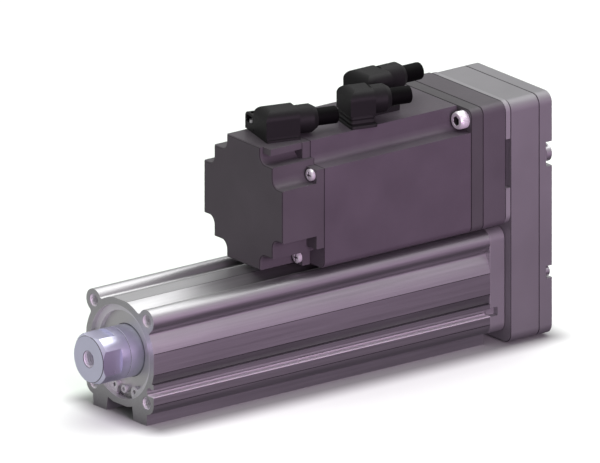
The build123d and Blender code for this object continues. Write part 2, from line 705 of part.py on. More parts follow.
def make_pulley_set_screw():
    screw = set_screw(SET_SCREW_R - SNUG, SET_SCREW_LENGTH)
    top = screw.faces().sort_by(Axis.Z)[-1]
    return screw - extrude(Plane(top) * RegularPolygon(SET_SCREW_R / 2, 6), -SET_SCREW_LENGTH / 2)


def belt_station(length):
    """Place on the pitch line at a length from the bottom of the screw pulley, as y, z and the tooth's turn."""
    half_wrap = pi / 2 + BELT_LEAN
    low_arc = SCREW_PITCH_R * half_wrap
    span = MOTOR_Z * cos(BELT_LEAN)
    if length <= low_arc:
        angle = -pi / 2 + length / SCREW_PITCH_R
        return SCREW_PITCH_R * cos(angle), SCREW_PITCH_R * sin(angle), degrees(angle)
    if length <= low_arc + span:
        along = length - low_arc
        y = SCREW_PITCH_R * cos(BELT_LEAN) - along * sin(BELT_LEAN)
        z = SCREW_PITCH_R * sin(BELT_LEAN) + along * cos(BELT_LEAN)
        return y, z, degrees(BELT_LEAN)
    angle = BELT_LEAN + (length - low_arc - span) / MOTOR_PITCH_R
    return MOTOR_PITCH_R * cos(angle), MOTOR_Z + MOTOR_PITCH_R * sin(angle), degrees(angle)


def belt_loop(offset):
    """Area inside the belt's loop at a distance outside the pitch line."""
    low = SCREW_PITCH_R + offset
    high = MOTOR_PITCH_R + offset
    low_y = low * cos(BELT_LEAN)
    high_y = high * cos(BELT_LEAN)
    low_z = low * sin(BELT_LEAN)
    high_z = MOTOR_Z + high * sin(BELT_LEAN)
    loop = [
        ThreePointArc((-low_y, low_z), (0, -low), (low_y, low_z)),
        Line((low_y, low_z), (high_y, high_z)),
        ThreePointArc((high_y, high_z), (0, MOTOR_Z + high), (-high_y, high_z)),
        Line((-high_y, high_z), (-low_y, low_z)),
    ]
    return make_face(Curve() + loop)


def make_timing_belt():
    """Toothed belt, in mesh with both pulleys: teeth sit at even lengths along the pitch line."""
    profile = belt_loop(BELT_BACK) - belt_loop(-BELT_LAND)
    tooth = Pos(0, -SCREW_PITCH_R) * tooth_profile(SCREW_PITCH_R)
    trim = belt_loop(0)
    teeth = []
    for number in range(BELT_TEETH // 2 + 1):
        y, z, turn = belt_station(number * BELT_PITCH)
        teeth.append(Pos(y, z) * Rot(0, 0, turn - 90) * tooth)
        if 0 < number < BELT_TEETH / 2:
            teeth.append(Pos(-y, z) * Rot(0, 0, 90 - turn) * tooth)
    profile += [one & trim for one in teeth]
    return prism(profile, BELT_REAR, BELT_FRONT)


def box_outline():
    middle = (BOX_TOP - BOX_BOTTOM) / 2
    return Pos(0, middle) * RectangleRounded(2 * BOX_HALF, BOX_TOP + BOX_BOTTOM, BOX_CORNER)


def cavity_outline():
    """Room round both pulleys: two circles joined by straight sides."""
    sides = Pos(0, MOTOR_Z / 2) * Rectangle(2 * CAVITY_R, MOTOR_Z)
    return Circle(CAVITY_R) + sides + Pos(0, MOTOR_Z) * Circle(CAVITY_R)


def corner_points():
    """Screws at the four corners of the return box."""
    side = BOX_HALF - CORNER_SCREW_INSET
    return [(y, z) for y in (-side, side) for z in (CORNER_SCREW_INSET - BOX_BOTTOM, BOX_TOP - CORNER_SCREW_INSET)]


def side_screw_points():
    side = BOX_HALF - COVER_SCREW_INSET
    return [(-side, MOTOR_Z), (side, MOTOR_Z)]


def small_screw_points():
    side = BOX_HALF - SMALL_SCREW_INSET
    return [(-side, SMALL_SCREW_Z), (side, SMALL_SCREW_Z)]


def adapter_screw_points():
    reach = ADAPTER_SCREW_CIRCLE_R / sqrt(2)
    return [(y, MOTOR_Z + z) for y in (-reach, reach) for z in (-reach, reach)]


def make_return_box():
    """Tray that holds both pulleys, open to the rear, bolted to the bearing housing."""
    box = eased(box_outline(), BOX_REAR, BLOCK_REAR)
    box -= prism(cavity_outline(), BOX_REAR, FLOOR_REAR)
    box -= bar(STOPPER_RING_R + CLEAR, FLOOR_REAR, BLOCK_REAR)
    box -= bar(MOTOR_PITCH_R + CLEAR, FLOOR_REAR, BLOCK_REAR, MOTOR_Z)
    for y, z in BOLT_POINTS:
        box -= bar(BODY_BOLT_R + CLEAR, BOX_REAR, BLOCK_REAR, z, y)
        box -= bar(BODY_BOLT_HEAD_R + CLEAR, BOX_REAR, BOX_REAR + BODY_BOLT_HEAD + CLEAR, z, y)
    for y, z in adapter_screw_points():
        box -= bar(ADAPTER_SCREW_R + CLEAR, FLOOR_REAR, BLOCK_REAR, z, y)
    for y, z in corner_points():
        box -= bar(CORNER_SCREW_R, BOX_REAR, BOX_REAR + COVER_SCREW_LENGTH, z, y)
    for y, z in side_screw_points():
        box -= bar(COVER_SCREW_R, BOX_REAR, BOX_REAR + COVER_SCREW_LENGTH, z, y)
    for y, z in small_screw_points():
        box -= bar(SMALL_SCREW_R, BOX_REAR, BOX_REAR + COVER_SCREW_LENGTH, z, y)
    return box


def make_return_cover():
    """Rear lid with four sunk corner screws and an open notch round each side screw."""
    lid = eased(box_outline(), CYLINDER_REAR, BOX_REAR)
    lid -= prism(cavity_outline(), CYLINDER_REAR + COVER_WALL, BOX_REAR)
    notch_floor = CYLINDER_REAR + COVER_NOTCH_DEPTH
    for y, z in side_screw_points():
        notch = Rectangle(2 * COVER_NOTCH_HEIGHT, COVER_NOTCH_HEIGHT)
        away = COVER_NOTCH_HEIGHT - COVER_SCREW_HEAD_R - CLEAR
        side = 1 if y > 0 else -1
        lid -= prism(notch, CYLINDER_REAR, notch_floor, z, y + side * away)
        lid -= bar(COVER_SCREW_R + CLEAR, CYLINDER_REAR, BOX_REAR, z, y)
    for y, z in small_screw_points():
        notch = Rectangle(2 * SMALL_NOTCH_HEIGHT, SMALL_NOTCH_HEIGHT)
        away = SMALL_NOTCH_HEIGHT - SMALL_SCREW_HEAD_R - CLEAR
        side = 1 if y > 0 else -1
        lid -= prism(notch, CYLINDER_REAR, notch_floor, z, y + side * away)
        lid -= bar(SMALL_SCREW_R + CLEAR, CYLINDER_REAR, BOX_REAR, z, y)
    for y, z in corner_points():
        lid -= bar(CORNER_SCREW_R + CLEAR, CYLINDER_REAR, BOX_REAR, z, y)
        lid -= bar(CORNER_SCREW_HEAD_R + CLEAR, CYLINDER_REAR, CYLINDER_REAR + CORNER_SCREW_HEAD + CLEAR, z, y)
    return lid


def rear_screws(points, seat, tip, radius, head_r, head):
    return group(cap_screw(tip, seat, radius - SNUG, head_r, head, y, z, toward=-1) for y, z in points)


def make_cover_corner_screws():
    seat = CYLINDER_REAR + CORNER_SCREW_HEAD + CLEAR
    tip = BOX_REAR + COVER_SCREW_LENGTH - CLEAR
    return rear_screws(corner_points(), seat, tip, CORNER_SCREW_R, CORNER_SCREW_HEAD_R, CORNER_SCREW_HEAD)


def make_cover_side_screws():
    seat = CYLINDER_REAR + COVER_NOTCH_DEPTH
    tip = BOX_REAR + COVER_SCREW_LENGTH - CLEAR
    return rear_screws(side_screw_points(), seat, tip, COVER_SCREW_R, COVER_SCREW_HEAD_R, COVER_SCREW_HEAD)


def make_cover_small_screws():
    seat = CYLINDER_REAR + COVER_NOTCH_DEPTH
    tip = BOX_REAR + COVER_SCREW_LENGTH - CLEAR
    return rear_screws(small_screw_points(), seat, tip, SMALL_SCREW_R, SMALL_SCREW_HEAD_R, SMALL_SCREW_HEAD)


def make_body_bolts():
    seat = BOX_REAR + BODY_BOLT_HEAD + CLEAR
    tip = TUBE_REAR + BODY_BOLT_BITE
    return rear_screws(BOLT_POINTS, seat, tip, BODY_BOLT_R, BODY_BOLT_HEAD_R, BODY_BOLT_HEAD)


def make_tension_plate():
    """Light pad between motor adapter and return box, notched at both sides."""
    outline = RectangleRounded(2 * MOTOR_HALF, 2 * MOTOR_HALF, BOX_CORNER)
    for side in (-1, 1):
        outline -= Pos(side * MOTOR_HALF, 0) * Rectangle(2 * PLATE_NOTCH_DEPTH, PLATE_NOTCH_HEIGHT)
    plate = eased(outline, BLOCK_REAR, PLATE_FRONT, MOTOR_Z)
    plate -= bar(ADAPTER_BORE_R - CLEAR, BLOCK_REAR, PLATE_FRONT, MOTOR_Z)
    for y, z in adapter_screw_points():
        plate -= bar(ADAPTER_SCREW_R + CLEAR, BLOCK_REAR, PLATE_FRONT, z, y)
    return plate


def motor_square():
    return RectangleRounded(2 * MOTOR_HALF, 2 * MOTOR_HALF, MOTOR_CORNER)


def make_motor_adapter():
    """Dark block that carries the motor, with a seat for its pilot and tapped holes for its screws."""
    block = eased(motor_square(), PLATE_FRONT, FLANGE_REAR, MOTOR_Z)
    block -= bar(ADAPTER_BORE_R - 2 * CLEAR, PLATE_FRONT, FLANGE_REAR, MOTOR_Z)
    block -= bar(PILOT_R + RUNNING, FLANGE_REAR - PILOT_LENGTH - CLEAR, FLANGE_REAR, MOTOR_Z)
    for y, z in MOTOR_BOLT_POINTS:
        block -= bar(MOTOR_BOLT_R, FLANGE_REAR - MOTOR_BOLT_BITE, FLANGE_REAR, MOTOR_Z + z, y)
    for y, z in adapter_screw_points():
        block -= bar(ADAPTER_SCREW_R, PLATE_FRONT, PLATE_FRONT + ADAPTER_SCREW_BITE, z, y)
    return block


def make_adapter_screws():
    tip = PLATE_FRONT + ADAPTER_SCREW_BITE - CLEAR
    return rear_screws(
        adapter_screw_points(), FLOOR_REAR, tip, ADAPTER_SCREW_R, ADAPTER_SCREW_HEAD_R, ADAPTER_SCREW_HEAD
    )


def make_motor_flange():
    """End shield of the motor: square flange, centring pilot and the front bearing's seat."""
    flange = eased(motor_square(), FLANGE_REAR, FLANGE_FRONT, MOTOR_Z)
    flange += bar(PILOT_R, FLANGE_REAR - PILOT_LENGTH, FLANGE_REAR, MOTOR_Z)
    flange -= bar(SHAFT_R + CLEAR, FLANGE_REAR - PILOT_LENGTH, FLANGE_FRONT, MOTOR_Z)
    flange -= bar(MOTOR_BEARING_R, FLANGE_FRONT - MOTOR_BEARING_WIDTH, FLANGE_FRONT, MOTOR_Z)
    for y, z in MOTOR_BOLT_POINTS:
        flange -= bar(MOTOR_BOLT_R + CLEAR, FLANGE_REAR, FLANGE_FRONT, MOTOR_Z + z, y)
    return flange


def make_motor_flange_screws():
    tip = FLANGE_REAR - MOTOR_BOLT_BITE + CLEAR
    return group(
        cap_screw(tip, FLANGE_FRONT, MOTOR_BOLT_R - SNUG, MOTOR_BOLT_HEAD_R, MOTOR_BOLT_HEAD, y, MOTOR_Z + z)
        for y, z in MOTOR_BOLT_POINTS
    )


def notched_square():
    """A square whose four corners are cut back."""
    inner = MOTOR_HALF - HOUSING_NOTCH
    outline = Rectangle(2 * MOTOR_HALF, 2 * inner) + Rectangle(2 * inner, 2 * MOTOR_HALF)
    hollow = [v for v in outline.vertices() if max(abs(v.X), abs(v.Y)) < MOTOR_HALF - HOUSING_NOTCH / 2]
    return fillet(hollow, HOUSING_FILLET)


def housing_outline():
    """Motor section: the upper corners are cut back for the screws, the lower ones are only rounded."""
    return notched_square() + (motor_square() & Pos(0, -MOTOR_HALF) * Rectangle(2 * MOTOR_HALF, 2 * MOTOR_HALF))


def encoder_outline():
    """Stepped section of the encoder cover: three crossed rectangles with round inner corners."""
    outline = Rectangle(2 * MOTOR_HALF, 2 * ENCODER_HALF_SLIM) + Rectangle(2 * ENCODER_HALF_SLIM, 2 * MOTOR_HALF)
    outline += Rectangle(2 * ENCODER_HALF_STEP, 2 * ENCODER_HALF_STEP)
    edge = (ENCODER_HALF_SLIM + ENCODER_HALF_STEP) / 2
    hollow = [v for v in outline.vertices() if min(abs(v.X), abs(v.Y)) < edge < max(abs(v.X), abs(v.Y)) < MOTOR_HALF - 1]
    return fillet(hollow, ENCODER_FILLET)


def make_motor_housing():
    housing = eased(housing_outline(), FLANGE_FRONT, HOUSING_END, MOTOR_Z)
    housing -= bar(HOUSING_BORE_R, FLANGE_FRONT, HOUSING_END - REAR_WALL, MOTOR_Z)
    seat = HOUSING_END - REAR_WALL
    housing -= bar(MOTOR_BEARING_R, seat, seat + MOTOR_BEARING_WIDTH, MOTOR_Z)
    return housing - bar(SHAFT_R + CLEAR, seat, HOUSING_END, MOTOR_Z)


def stator_ends():
    """Rear and front end of the stator core, set against the flange with room for its coils."""
    rear = FLANGE_FRONT + WINDING_RISE + 2 * CLEAR
    return rear, rear + STATOR_LENGTH


def slots_profile(inner, play=0.0):
    """Sections of the core's slots from an inner radius outwards, narrowed by the play of what lies in them."""
    depth = STATOR_INNER_R + SLOT_DEPTH - play - inner
    slot = Pos(inner + depth / 2, 0) * Rectangle(depth, SLOT_WIDTH - 2 * play)
    return [Rot(0, 0, number * 360 / STATOR_SLOTS) * slot for number in range(STATOR_SLOTS)]


def make_stator_core():
    rear, front = stator_ends()
    slots = slots_profile(STATOR_INNER_R - CLEAR)
    return prism(Circle(HOUSING_BORE_R - SNUG) - Circle(STATOR_INNER_R) - slots, rear, front, MOTOR_Z)


def make_stator_windings():
    """Copper in the core's slots, joined by the round coil heads at both ends."""
    rear, front = stator_ends()
    coils = tube(STATOR_INNER_R + SLOT_DEPTH, STATOR_INNER_R + CLEAR, rear - WINDING_RISE, rear, MOTOR_Z)
    coils += tube(STATOR_INNER_R + SLOT_DEPTH, STATOR_INNER_R + CLEAR, front, front + WINDING_RISE, MOTOR_Z)
    in_slots = slots_profile(STATOR_INNER_R + 2 * CLEAR, CLEAR)
    return coils + [prism(slot, rear, front, MOTOR_Z) for slot in in_slots]


def make_rotor_magnets():
    rear, front = stator_ends()
    outer = STATOR_INNER_R - ROTOR_GAP
    ring = Circle(outer) - Circle(outer - MAGNET_WALL)
    gap = Rectangle(2 * outer, CLEAR)
    ring -= [Rot(0, 0, number * 45) * gap for number in range(4)]
    return group(prism(face, rear, front, MOTOR_Z) for face in ring.faces())


def make_motor_shaft():
    """Shaft with the rotor's core, a thinner end for the encoder and a shoulder at each bearing."""
    rear, front = stator_ends()
    shaft = bar(SHAFT_R, SHAFT_END, HOUSING_END, MOTOR_Z)
    shaft += bar(STATOR_INNER_R - ROTOR_GAP - MAGNET_WALL, rear, front, MOTOR_Z)
    return shaft + bar(ENCODER_SHAFT_R, HOUSING_END, encoder_disc_front(), MOTOR_Z)


def motor_races(inner):
    """The outer (0) or inner (1) races of the motor's two bearings."""
    rear_seat = HOUSING_END - REAR_WALL + MOTOR_BEARING_WIDTH
    pairs = [
        bearing_races(MOTOR_BEARING_R, SHAFT_R, MOTOR_BEARING_WIDTH, RACE, front, 1, MOTOR_Z)[inner]
        for front in (FLANGE_FRONT, rear_seat)
    ]
    return group(pairs[0] + pairs[1])


def brake_front():
    return HOUSING_END - REAR_WALL


def make_brake_coil():
    """Cup with its coil, against the housing's inner wall."""
    front = brake_front()
    rear = front - BRAKE_COIL_LENGTH
    cup = tube(HOUSING_BORE_R - SNUG, BRAKE_BORE_R, rear, front, MOTOR_Z)
    cup -= tube(BRAKE_R - BRAKE_COIL_WALL, BRAKE_BORE_R + BRAKE_COIL_WALL, rear, rear + BRAKE_PLATE, MOTOR_Z)
    return cup


def make_brake_armature():
    front = brake_front() - BRAKE_COIL_LENGTH - BRAKE_PLAY
    return tube(BRAKE_R, BRAKE_BORE_R, front - BRAKE_PLATE, front, MOTOR_Z)


def make_brake_disc():
    front = brake_front() - BRAKE_COIL_LENGTH - BRAKE_PLATE - 2 * BRAKE_PLAY
    return tube(BRAKE_R - 1, SHAFT_R, front - BRAKE_DISC, front, MOTOR_Z)


def encoder_disc_front():
    return MOTOR_END - ENCODER_BACK - BOARD_POST_LENGTH - BOARD_THICK - 1


def make_encoder_disc():
    front = encoder_disc_front()
    return tube(ENCODER_DISC_R, ENCODER_SHAFT_R, front - ENCODER_DISC, front, MOTOR_Z)


def board_post_points():
    reach = BOARD_HALF - BOARD_POST_R
    return [(y, MOTOR_Z + z) for y in (-reach, reach) for z in (-reach, reach)]


def make_encoder_board():
    front = MOTOR_END - ENCODER_BACK - BOARD_POST_LENGTH
    return prism(RectangleRounded(2 * BOARD_HALF, 2 * BOARD_HALF, BOARD_POST_R), front - BOARD_THICK, front, MOTOR_Z)


def pan_screw_points():
    """Screws of the encoder cover, one in each arm of its band, turned by quarters."""
    side = ENCODER_HALF_STEP + ENCODER_FILLET
    low = MOTOR_HALF - HOUSING_NOTCH - PAN_HEAD_R - PAN_EDGE
    return [(side, MOTOR_Z + low), (low, MOTOR_Z - side), (-side, MOTOR_Z - low), (-low, MOTOR_Z + side)]


def make_encoder_cover():
    """Moulded cap with a stepped section, a fuller band next to the housing and posts for the board."""
    band_front = HOUSING_END + ENCODER_BAND
    cover = prism(encoder_outline(), band_front, MOTOR_END, MOTOR_Z)
    back = cover.faces().sort_by(Axis.X)[-1]
    cover = chamfer(back.edges(), ENCODER_BEVEL)
    cover += prism(notched_square() + encoder_outline(), HOUSING_END, band_front, MOTOR_Z)
    pad = Pos(PAD_SHIFT, MOTOR_HALF - PAD_HEIGHT / 2) * Rectangle(2 * PAD_HALF, PAD_HEIGHT)
    cover += prism(pad, HOUSING_END, MOTOR_END - PAD_INSET, MOTOR_Z)
    room = 2 * (ENCODER_HALF_STEP - ENCODER_WALL)
    cover -= prism(RectangleRounded(room, room, ENCODER_FILLET), HOUSING_END, MOTOR_END - ENCODER_BACK, MOTOR_Z)
    for y, z in pan_screw_points():
        cover -= bar(PAN_SCREW_R, band_front - ENCODER_BAND, band_front, z, y)
    for y, z in board_post_points():
        cover += bar(BOARD_POST_R, MOTOR_END - ENCODER_BACK - BOARD_POST_LENGTH, MOTOR_END - ENCODER_BACK, z, y)
    return cover


def make_encoder_cover_screws():
    seat = HOUSING_END + ENCODER_BAND
    return group(
        cap_screw(HOUSING_END + CLEAR, seat, PAN_SCREW_R - SNUG, PAN_HEAD_R, PAN_HEAD, y, z) for y, z in pan_screw_points()
    )


class Connector:
    """A right-angle connector on the motor: the middle of its hood's front, its turn, and the sizes that differ."""

    def __init__(self, x, y, turn, length, width, height, seat_height, lead_height, lead_shift, collar, tail, flange):
        self.x = x
        self.y = y
        self.turn = turn
        self.length = length
        self.width = width
        self.height = height
        self.seat_height = seat_height
        self.lead_height = lead_height
        self.lead_shift = lead_shift
        self.collar = collar
        self.tail = tail
        self.flange = flange

    def place(self, solid):
        """Put a connector drawn with its front at x = 0 and leaving along -X where it sits on the motor."""
        return Pos(self.x, self.y, MOTOR_Z + MOTOR_HALF) * Rot(0, 0, -self.turn) * solid

    def core(self, play, height):
        """The block that goes up into the hood, with the play left round it."""
        size = self.length - 2 * CONTACT_WALL - 2 * play, self.width - 2 * CONTACT_WALL - 2 * play
        return extrude(Pos(-self.length / 2, 0) * Rectangle(*size), height)

    def seat(self, lip, tail, height):
        """A plate below the hood, wider than it by a lip at each side and longer by a tail at the rear."""
        outline = RectangleRounded(self.length + tail, self.width + 2 * lip, SEAT_ROUND)
        return extrude(Pos(-(self.length + tail) / 2, 0) * outline, height)

    def receptacle(self):
        """Base on the motor's top: flange, neck with the hood's outline, and the block that takes its contacts."""
        base = self.seat(SEAT_LIP, self.tail, self.flange) + self.seat(0, 0, self.seat_height)
        return self.place(base + self.core(SNUG, (self.lead_height + self.seat_height) / 2))

    def plug(self):
        """Hood with rounded top edges that runs into a round collar for the lead."""
        low = self.seat_height
        hood = Pos(-self.length / 2, 0, low) * Box(
            self.length, self.width, self.height - low, align=(Align.CENTER, Align.CENTER, Align.MIN)
        )
        top = hood.faces().sort_by(Axis.Z)[-1]
        soft = [e for e in top.edges() if e.center().X > -self.length + SNUG]
        hood = fillet(soft, PLUG_ROUND)
        collar_r = CABLE_R + COLLAR_NECK
        mouth = Plane(origin=(-self.length, self.lead_shift, self.lead_height), z_dir=(-1, 0, 0))
        hood += extrude(mouth * Circle(collar_r), self.collar)
        rim = mouth.offset(self.collar)
        hood += loft([rim * Circle(collar_r), rim.offset(COLLAR_NECK) * Circle(collar_r - COLLAR_TAPER)])
        hood -= extrude(rim.offset(-self.collar / 2) * Circle(CABLE_R), self.collar + COLLAR_NECK)
        return self.place(hood - self.core(0, (self.lead_height + low) / 2 + CLEAR))

    def lead(self):
        start = -self.length - self.collar / 2
        section = Plane(origin=(start, self.lead_shift, self.lead_height), z_dir=(-1, 0, 0)) * Circle(CABLE_R)
        return self.place(extrude(section, self.collar / 2 + COLLAR_NECK + CABLE_LENGTH))


ENCODER_CONNECTOR = Connector(
    x=MOTOR_END - ENCODER_PLUG_BACK,
    y=2.3,
    turn=15,
    length=17.0,
    width=15.6,
    height=14.2,
    seat_height=2.2,
    lead_height=7.0,
    lead_shift=0,
    collar=7.8,
    tail=0,
    flange=1.1,
)
BRAKE_CONNECTOR = Connector(
    x=HOUSING_END - BRAKE_PLUG_BACK,
    y=9.5,
    turn=15,
    length=12.6,
    width=17.4,
    height=17.3,
    seat_height=6.0,
    lead_height=10.9,
    lead_shift=0.9,
    collar=6.7,
    tail=0.9,
    flange=1.5,
)
POWER_CONNECTOR = Connector(
    x=HOUSING_END - POWER_PLUG_BACK,
    y=-1.75,
    turn=0,
    length=14.9,
    width=18.9,
    height=18.4,
    seat_height=2.5,
    lead_height=12.0,
    lead_shift=-1.65,
    collar=10.2,
    tail=3.4,
    flange=2.5,
)


def ear_middle():
    """Middle of the encoder plug's ear, beside the hood on its far side."""
    return -EAR_THICK / 2, -(ENCODER_CONNECTOR.width + EAR_WIDTH) / 2


def ear_screw_place():
    return (EAR_BACK - EAR_THICK) / 2, ear_middle()[1]


def ear_hole():
    x, y = ear_screw_place()
    return Pos(x, y, 0) * Cylinder(EAR_SCREW_R + SNUG, 4 * EAR_HEIGHT)


def make_encoder_plug():
    """The encoder's plug has a hollow ear on its far side, open to the front, with a screw in its floor."""
    x, y = ear_middle()
    side = Plane(origin=(x - EAR_THICK / 2, y, ENCODER_CONNECTOR.seat_height), x_dir=(0, 1, 0), z_dir=(1, 0, 0))
    outline = Pos(0, EAR_HEIGHT / 2) * Rectangle(EAR_WIDTH, EAR_HEIGHT)
    outline = fillet(outline.vertices().sort_by(Axis.Y)[-2:].sort_by(Axis.X)[0], EAR_ROUND)
    room_height = EAR_HEIGHT - EAR_FLOOR - EAR_WALL
    room = Pos(0, EAR_FLOOR + room_height / 2) * Rectangle(EAR_WIDTH - 2 * EAR_WALL, room_height)
    room = fillet(room.vertices().sort_by(Axis.Y)[-2:].sort_by(Axis.X)[0], EAR_ROUND - EAR_WALL)
    ear = extrude(side * outline, EAR_THICK) - extrude(side.offset(EAR_BACK) * room, EAR_THICK)
    return ENCODER_CONNECTOR.plug() + ENCODER_CONNECTOR.place(ear - ear_hole())


def make_encoder_receptacle():
    x, y = ear_middle()
    size = EAR_THICK, EAR_WIDTH, ENCODER_CONNECTOR.seat_height
    pad = Pos(x, y, 0) * Box(*size, align=(Align.CENTER, Align.CENTER, Align.MIN))
    return ENCODER_CONNECTOR.receptacle() + ENCODER_CONNECTOR.place(pad - ear_hole())


def make_plug_screw():
    """Screw through the floor of the ear of the encoder's plug."""
    x, y = ear_screw_place()
    top = ENCODER_CONNECTOR.seat_height + EAR_FLOOR
    shank = Pos(x, y, SNUG) * Cylinder(EAR_SCREW_R, top, align=(Align.CENTER, Align.CENTER, Align.MIN))
    head = Pos(x, y, top) * Cylinder(EAR_SCREW_HEAD_R, EAR_SCREW_HEAD, align=(Align.CENTER, Align.CENTER, Align.MIN))
    slot = Pos(x, y, top + EAR_SCREW_HEAD) * Box(2 * EAR_SCREW_HEAD_R, EAR_SCREW_R / 2, EAR_SCREW_HEAD)
    return ENCODER_CONNECTOR.place(shank + head - slot)


OUTER_RACES, INNER_RACES = make_screw_bearings()

PIECES = {
    "body_tube": make_body_tube(),
    "rod_cover": make_rod_cover(),
    "rod_seal": make_rod_seal(),
    "rod_bushing": make_rod_bushing(),
    "retaining_ring": make_retaining_ring(),
    "ring_lock_screw": make_lock_screw(),
    "piston_rod": make_piston_rod(),
    "rod_socket": make_rod_socket(),
    "piston": make_piston(),
    "piston_wear_ring": make_wear_ring(),
    "piston_magnet": make_piston_magnet(),
    "rotation_stopper": make_rotation_stopper(),
    "ball_nut": make_ball_nut(),
    "ball_screw": make_ball_screw(),
    "screw_tip_bush": make_screw_tip_bush(),
    "rear_bumper": make_rear_bumper(),
    "bearing_housing": make_bearing_housing(),
    "screw_bearing_outer": group(OUTER_RACES),
    "screw_bearing_inner": group(INNER_RACES),
    "bearing_stopper": make_bearing_stopper(),
    "bearing_stopper_screws": make_bearing_stopper_screws(),
    "screw_pulley": make_screw_pulley(),
    "screw_pulley_nut": make_pulley_nut(),
    "motor_pulley": make_motor_pulley(),
    "motor_pulley_set_screw": make_pulley_set_screw(),
    "timing_belt": make_timing_belt(),
    "return_box": make_return_box(),
    "return_cover": make_return_cover(),
    "cover_corner_screws": make_cover_corner_screws(),
    "cover_side_screws": make_cover_side_screws(),
    "cover_small_screws": make_cover_small_screws(),
    "body_bolts": make_body_bolts(),
    "tension_plate": make_tension_plate(),
    "motor_adapter": make_motor_adapter(),
    "adapter_screws": make_adapter_screws(),
    "motor_flange": make_motor_flange(),
    "motor_flange_screws": make_motor_flange_screws(),
    "motor_housing": make_motor_housing(),
    "stator_core": make_stator_core(),
    "stator_windings": make_stator_windings(),
    "motor_shaft": make_motor_shaft(),
    "rotor_magnets": make_rotor_magnets(),
    "motor_bearing_outer": motor_races(0),
    "motor_bearing_inner": motor_races(1),
    "brake_coil": make_brake_coil(),
    "brake_armature": make_brake_armature(),
    "brake_disc": make_brake_disc(),
    "encoder_disc": make_encoder_disc(),
    "encoder_board": make_encoder_board(),
    "encoder_cover": make_encoder_cover(),
    "encoder_cover_screws": make_encoder_cover_screws(),
    "encoder_receptacle": make_encoder_receptacle(),
    "encoder_plug": make_encoder_plug(),
    "encoder_plug_screw": make_plug_screw(),
    "brake_receptacle": BRAKE_CONNECTOR.receptacle(),
    "brake_plug": BRAKE_CONNECTOR.plug(),
    "power_receptacle": POWER_CONNECTOR.receptacle(),
    "power_plug": POWER_CONNECTOR.plug(),
    "lead_stubs": group(one.lead() for one in (ENCODER_CONNECTOR, BRAKE_CONNECTOR, POWER_CONNECTOR)),
}

for name, piece in PIECES.items():
    export_step(piece, f"parts/{name}.step")
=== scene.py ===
"""Electric cylinder with its motor folded back over the body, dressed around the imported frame."""

import bpy
import math
import numpy as np
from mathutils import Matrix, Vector


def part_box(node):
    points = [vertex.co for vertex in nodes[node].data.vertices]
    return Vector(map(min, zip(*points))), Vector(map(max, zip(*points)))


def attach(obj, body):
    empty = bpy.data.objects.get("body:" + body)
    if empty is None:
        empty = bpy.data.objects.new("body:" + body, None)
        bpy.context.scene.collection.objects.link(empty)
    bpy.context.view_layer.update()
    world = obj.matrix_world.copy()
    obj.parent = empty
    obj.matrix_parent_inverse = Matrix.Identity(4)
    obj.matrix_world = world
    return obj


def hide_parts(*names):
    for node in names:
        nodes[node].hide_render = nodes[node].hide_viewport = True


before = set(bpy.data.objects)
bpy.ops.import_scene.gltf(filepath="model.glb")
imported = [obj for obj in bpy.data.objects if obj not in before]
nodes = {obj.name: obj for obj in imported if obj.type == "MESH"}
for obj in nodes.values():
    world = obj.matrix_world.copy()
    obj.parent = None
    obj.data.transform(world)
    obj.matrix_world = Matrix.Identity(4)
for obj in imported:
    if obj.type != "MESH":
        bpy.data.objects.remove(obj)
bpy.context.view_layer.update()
MM = 0.001

# Body tube
# The long body is an aluminium extrusion, sawn off square, milled at its front face and anodised in natural silver. The
# die leaves fine lines along its length. Four tapped holes in its corner bosses take M6 screws, and their threads are
# cut here; its section is as the frame has it.


class Field:
    """One output socket, so that its maths is written with the usual signs."""

    def __init__(self, wiring, socket):
        self.wiring = wiring
        self.socket = socket

    def _maths(self, operation, *values):
        """One Math node with these values at its inputs."""
        return self.wiring.node("ShaderNodeMath", {"operation": operation}, dict(enumerate(values)))[0]

    def __add__(self, other):
        return self._maths("ADD", self, other)

    __radd__ = __add__

    def __sub__(self, other):
        return self._maths("SUBTRACT", self, other)

    def __rsub__(self, other):
        return self._maths("SUBTRACT", other, self)

    def __mul__(self, other):
        return self._maths("MULTIPLY", self, other)

    __rmul__ = __mul__

    def __abs__(self):
        return self._maths("ABSOLUTE", self)

    def __gt__(self, other):
        return self._maths("GREATER_THAN", self, other)


class Wiring:
    """The nodes of one material or of the sky, whose outputs are fields."""

    def __init__(self, tree):
        self.tree = tree

    def node(self, kind, settings=None, inputs=None):
        """Adds a node, sets it up first, then gives its sockets values or links; returns its outputs as fields."""
        made = self.tree.nodes.new(kind)
        for key, value in (settings or {}).items():
            setattr(made, key, value)
        for key, value in (inputs or {}).items():
            self.join(value, made.inputs[key])
        return [Field(self, socket) for socket in made.outputs]

    def join(self, value, socket):
        """Links a field to a socket, or sets the socket to a plain value."""
        if isinstance(value, Field):
            self.tree.links.new(value.socket, socket)
        else:
            socket.default_value = value

    def blend(self, share, first, second):
        """Colour between two colours."""
        inputs = {"Factor": share, 6: (*first, 1) if isinstance(first, tuple) else first}
        inputs[7] = (*second, 1) if isinstance(second, tuple) else second
        return self.node("ShaderNodeMix", {"data_type": "RGBA"}, inputs)[2]

    def spread(self, value, low, high, **settings):
        """Stretches the part of a pattern between low and high over the range from 0 to 1."""
        return self.node("ShaderNodeMapRange", settings, {"Value": value, "From Min": low, "From Max": high})[0]

    def vectors(self, operation, *values):
        """Outputs of one Vector Math node: the vector, then the number."""
        return self.node("ShaderNodeVectorMath", {"operation": operation}, dict(enumerate(values)))


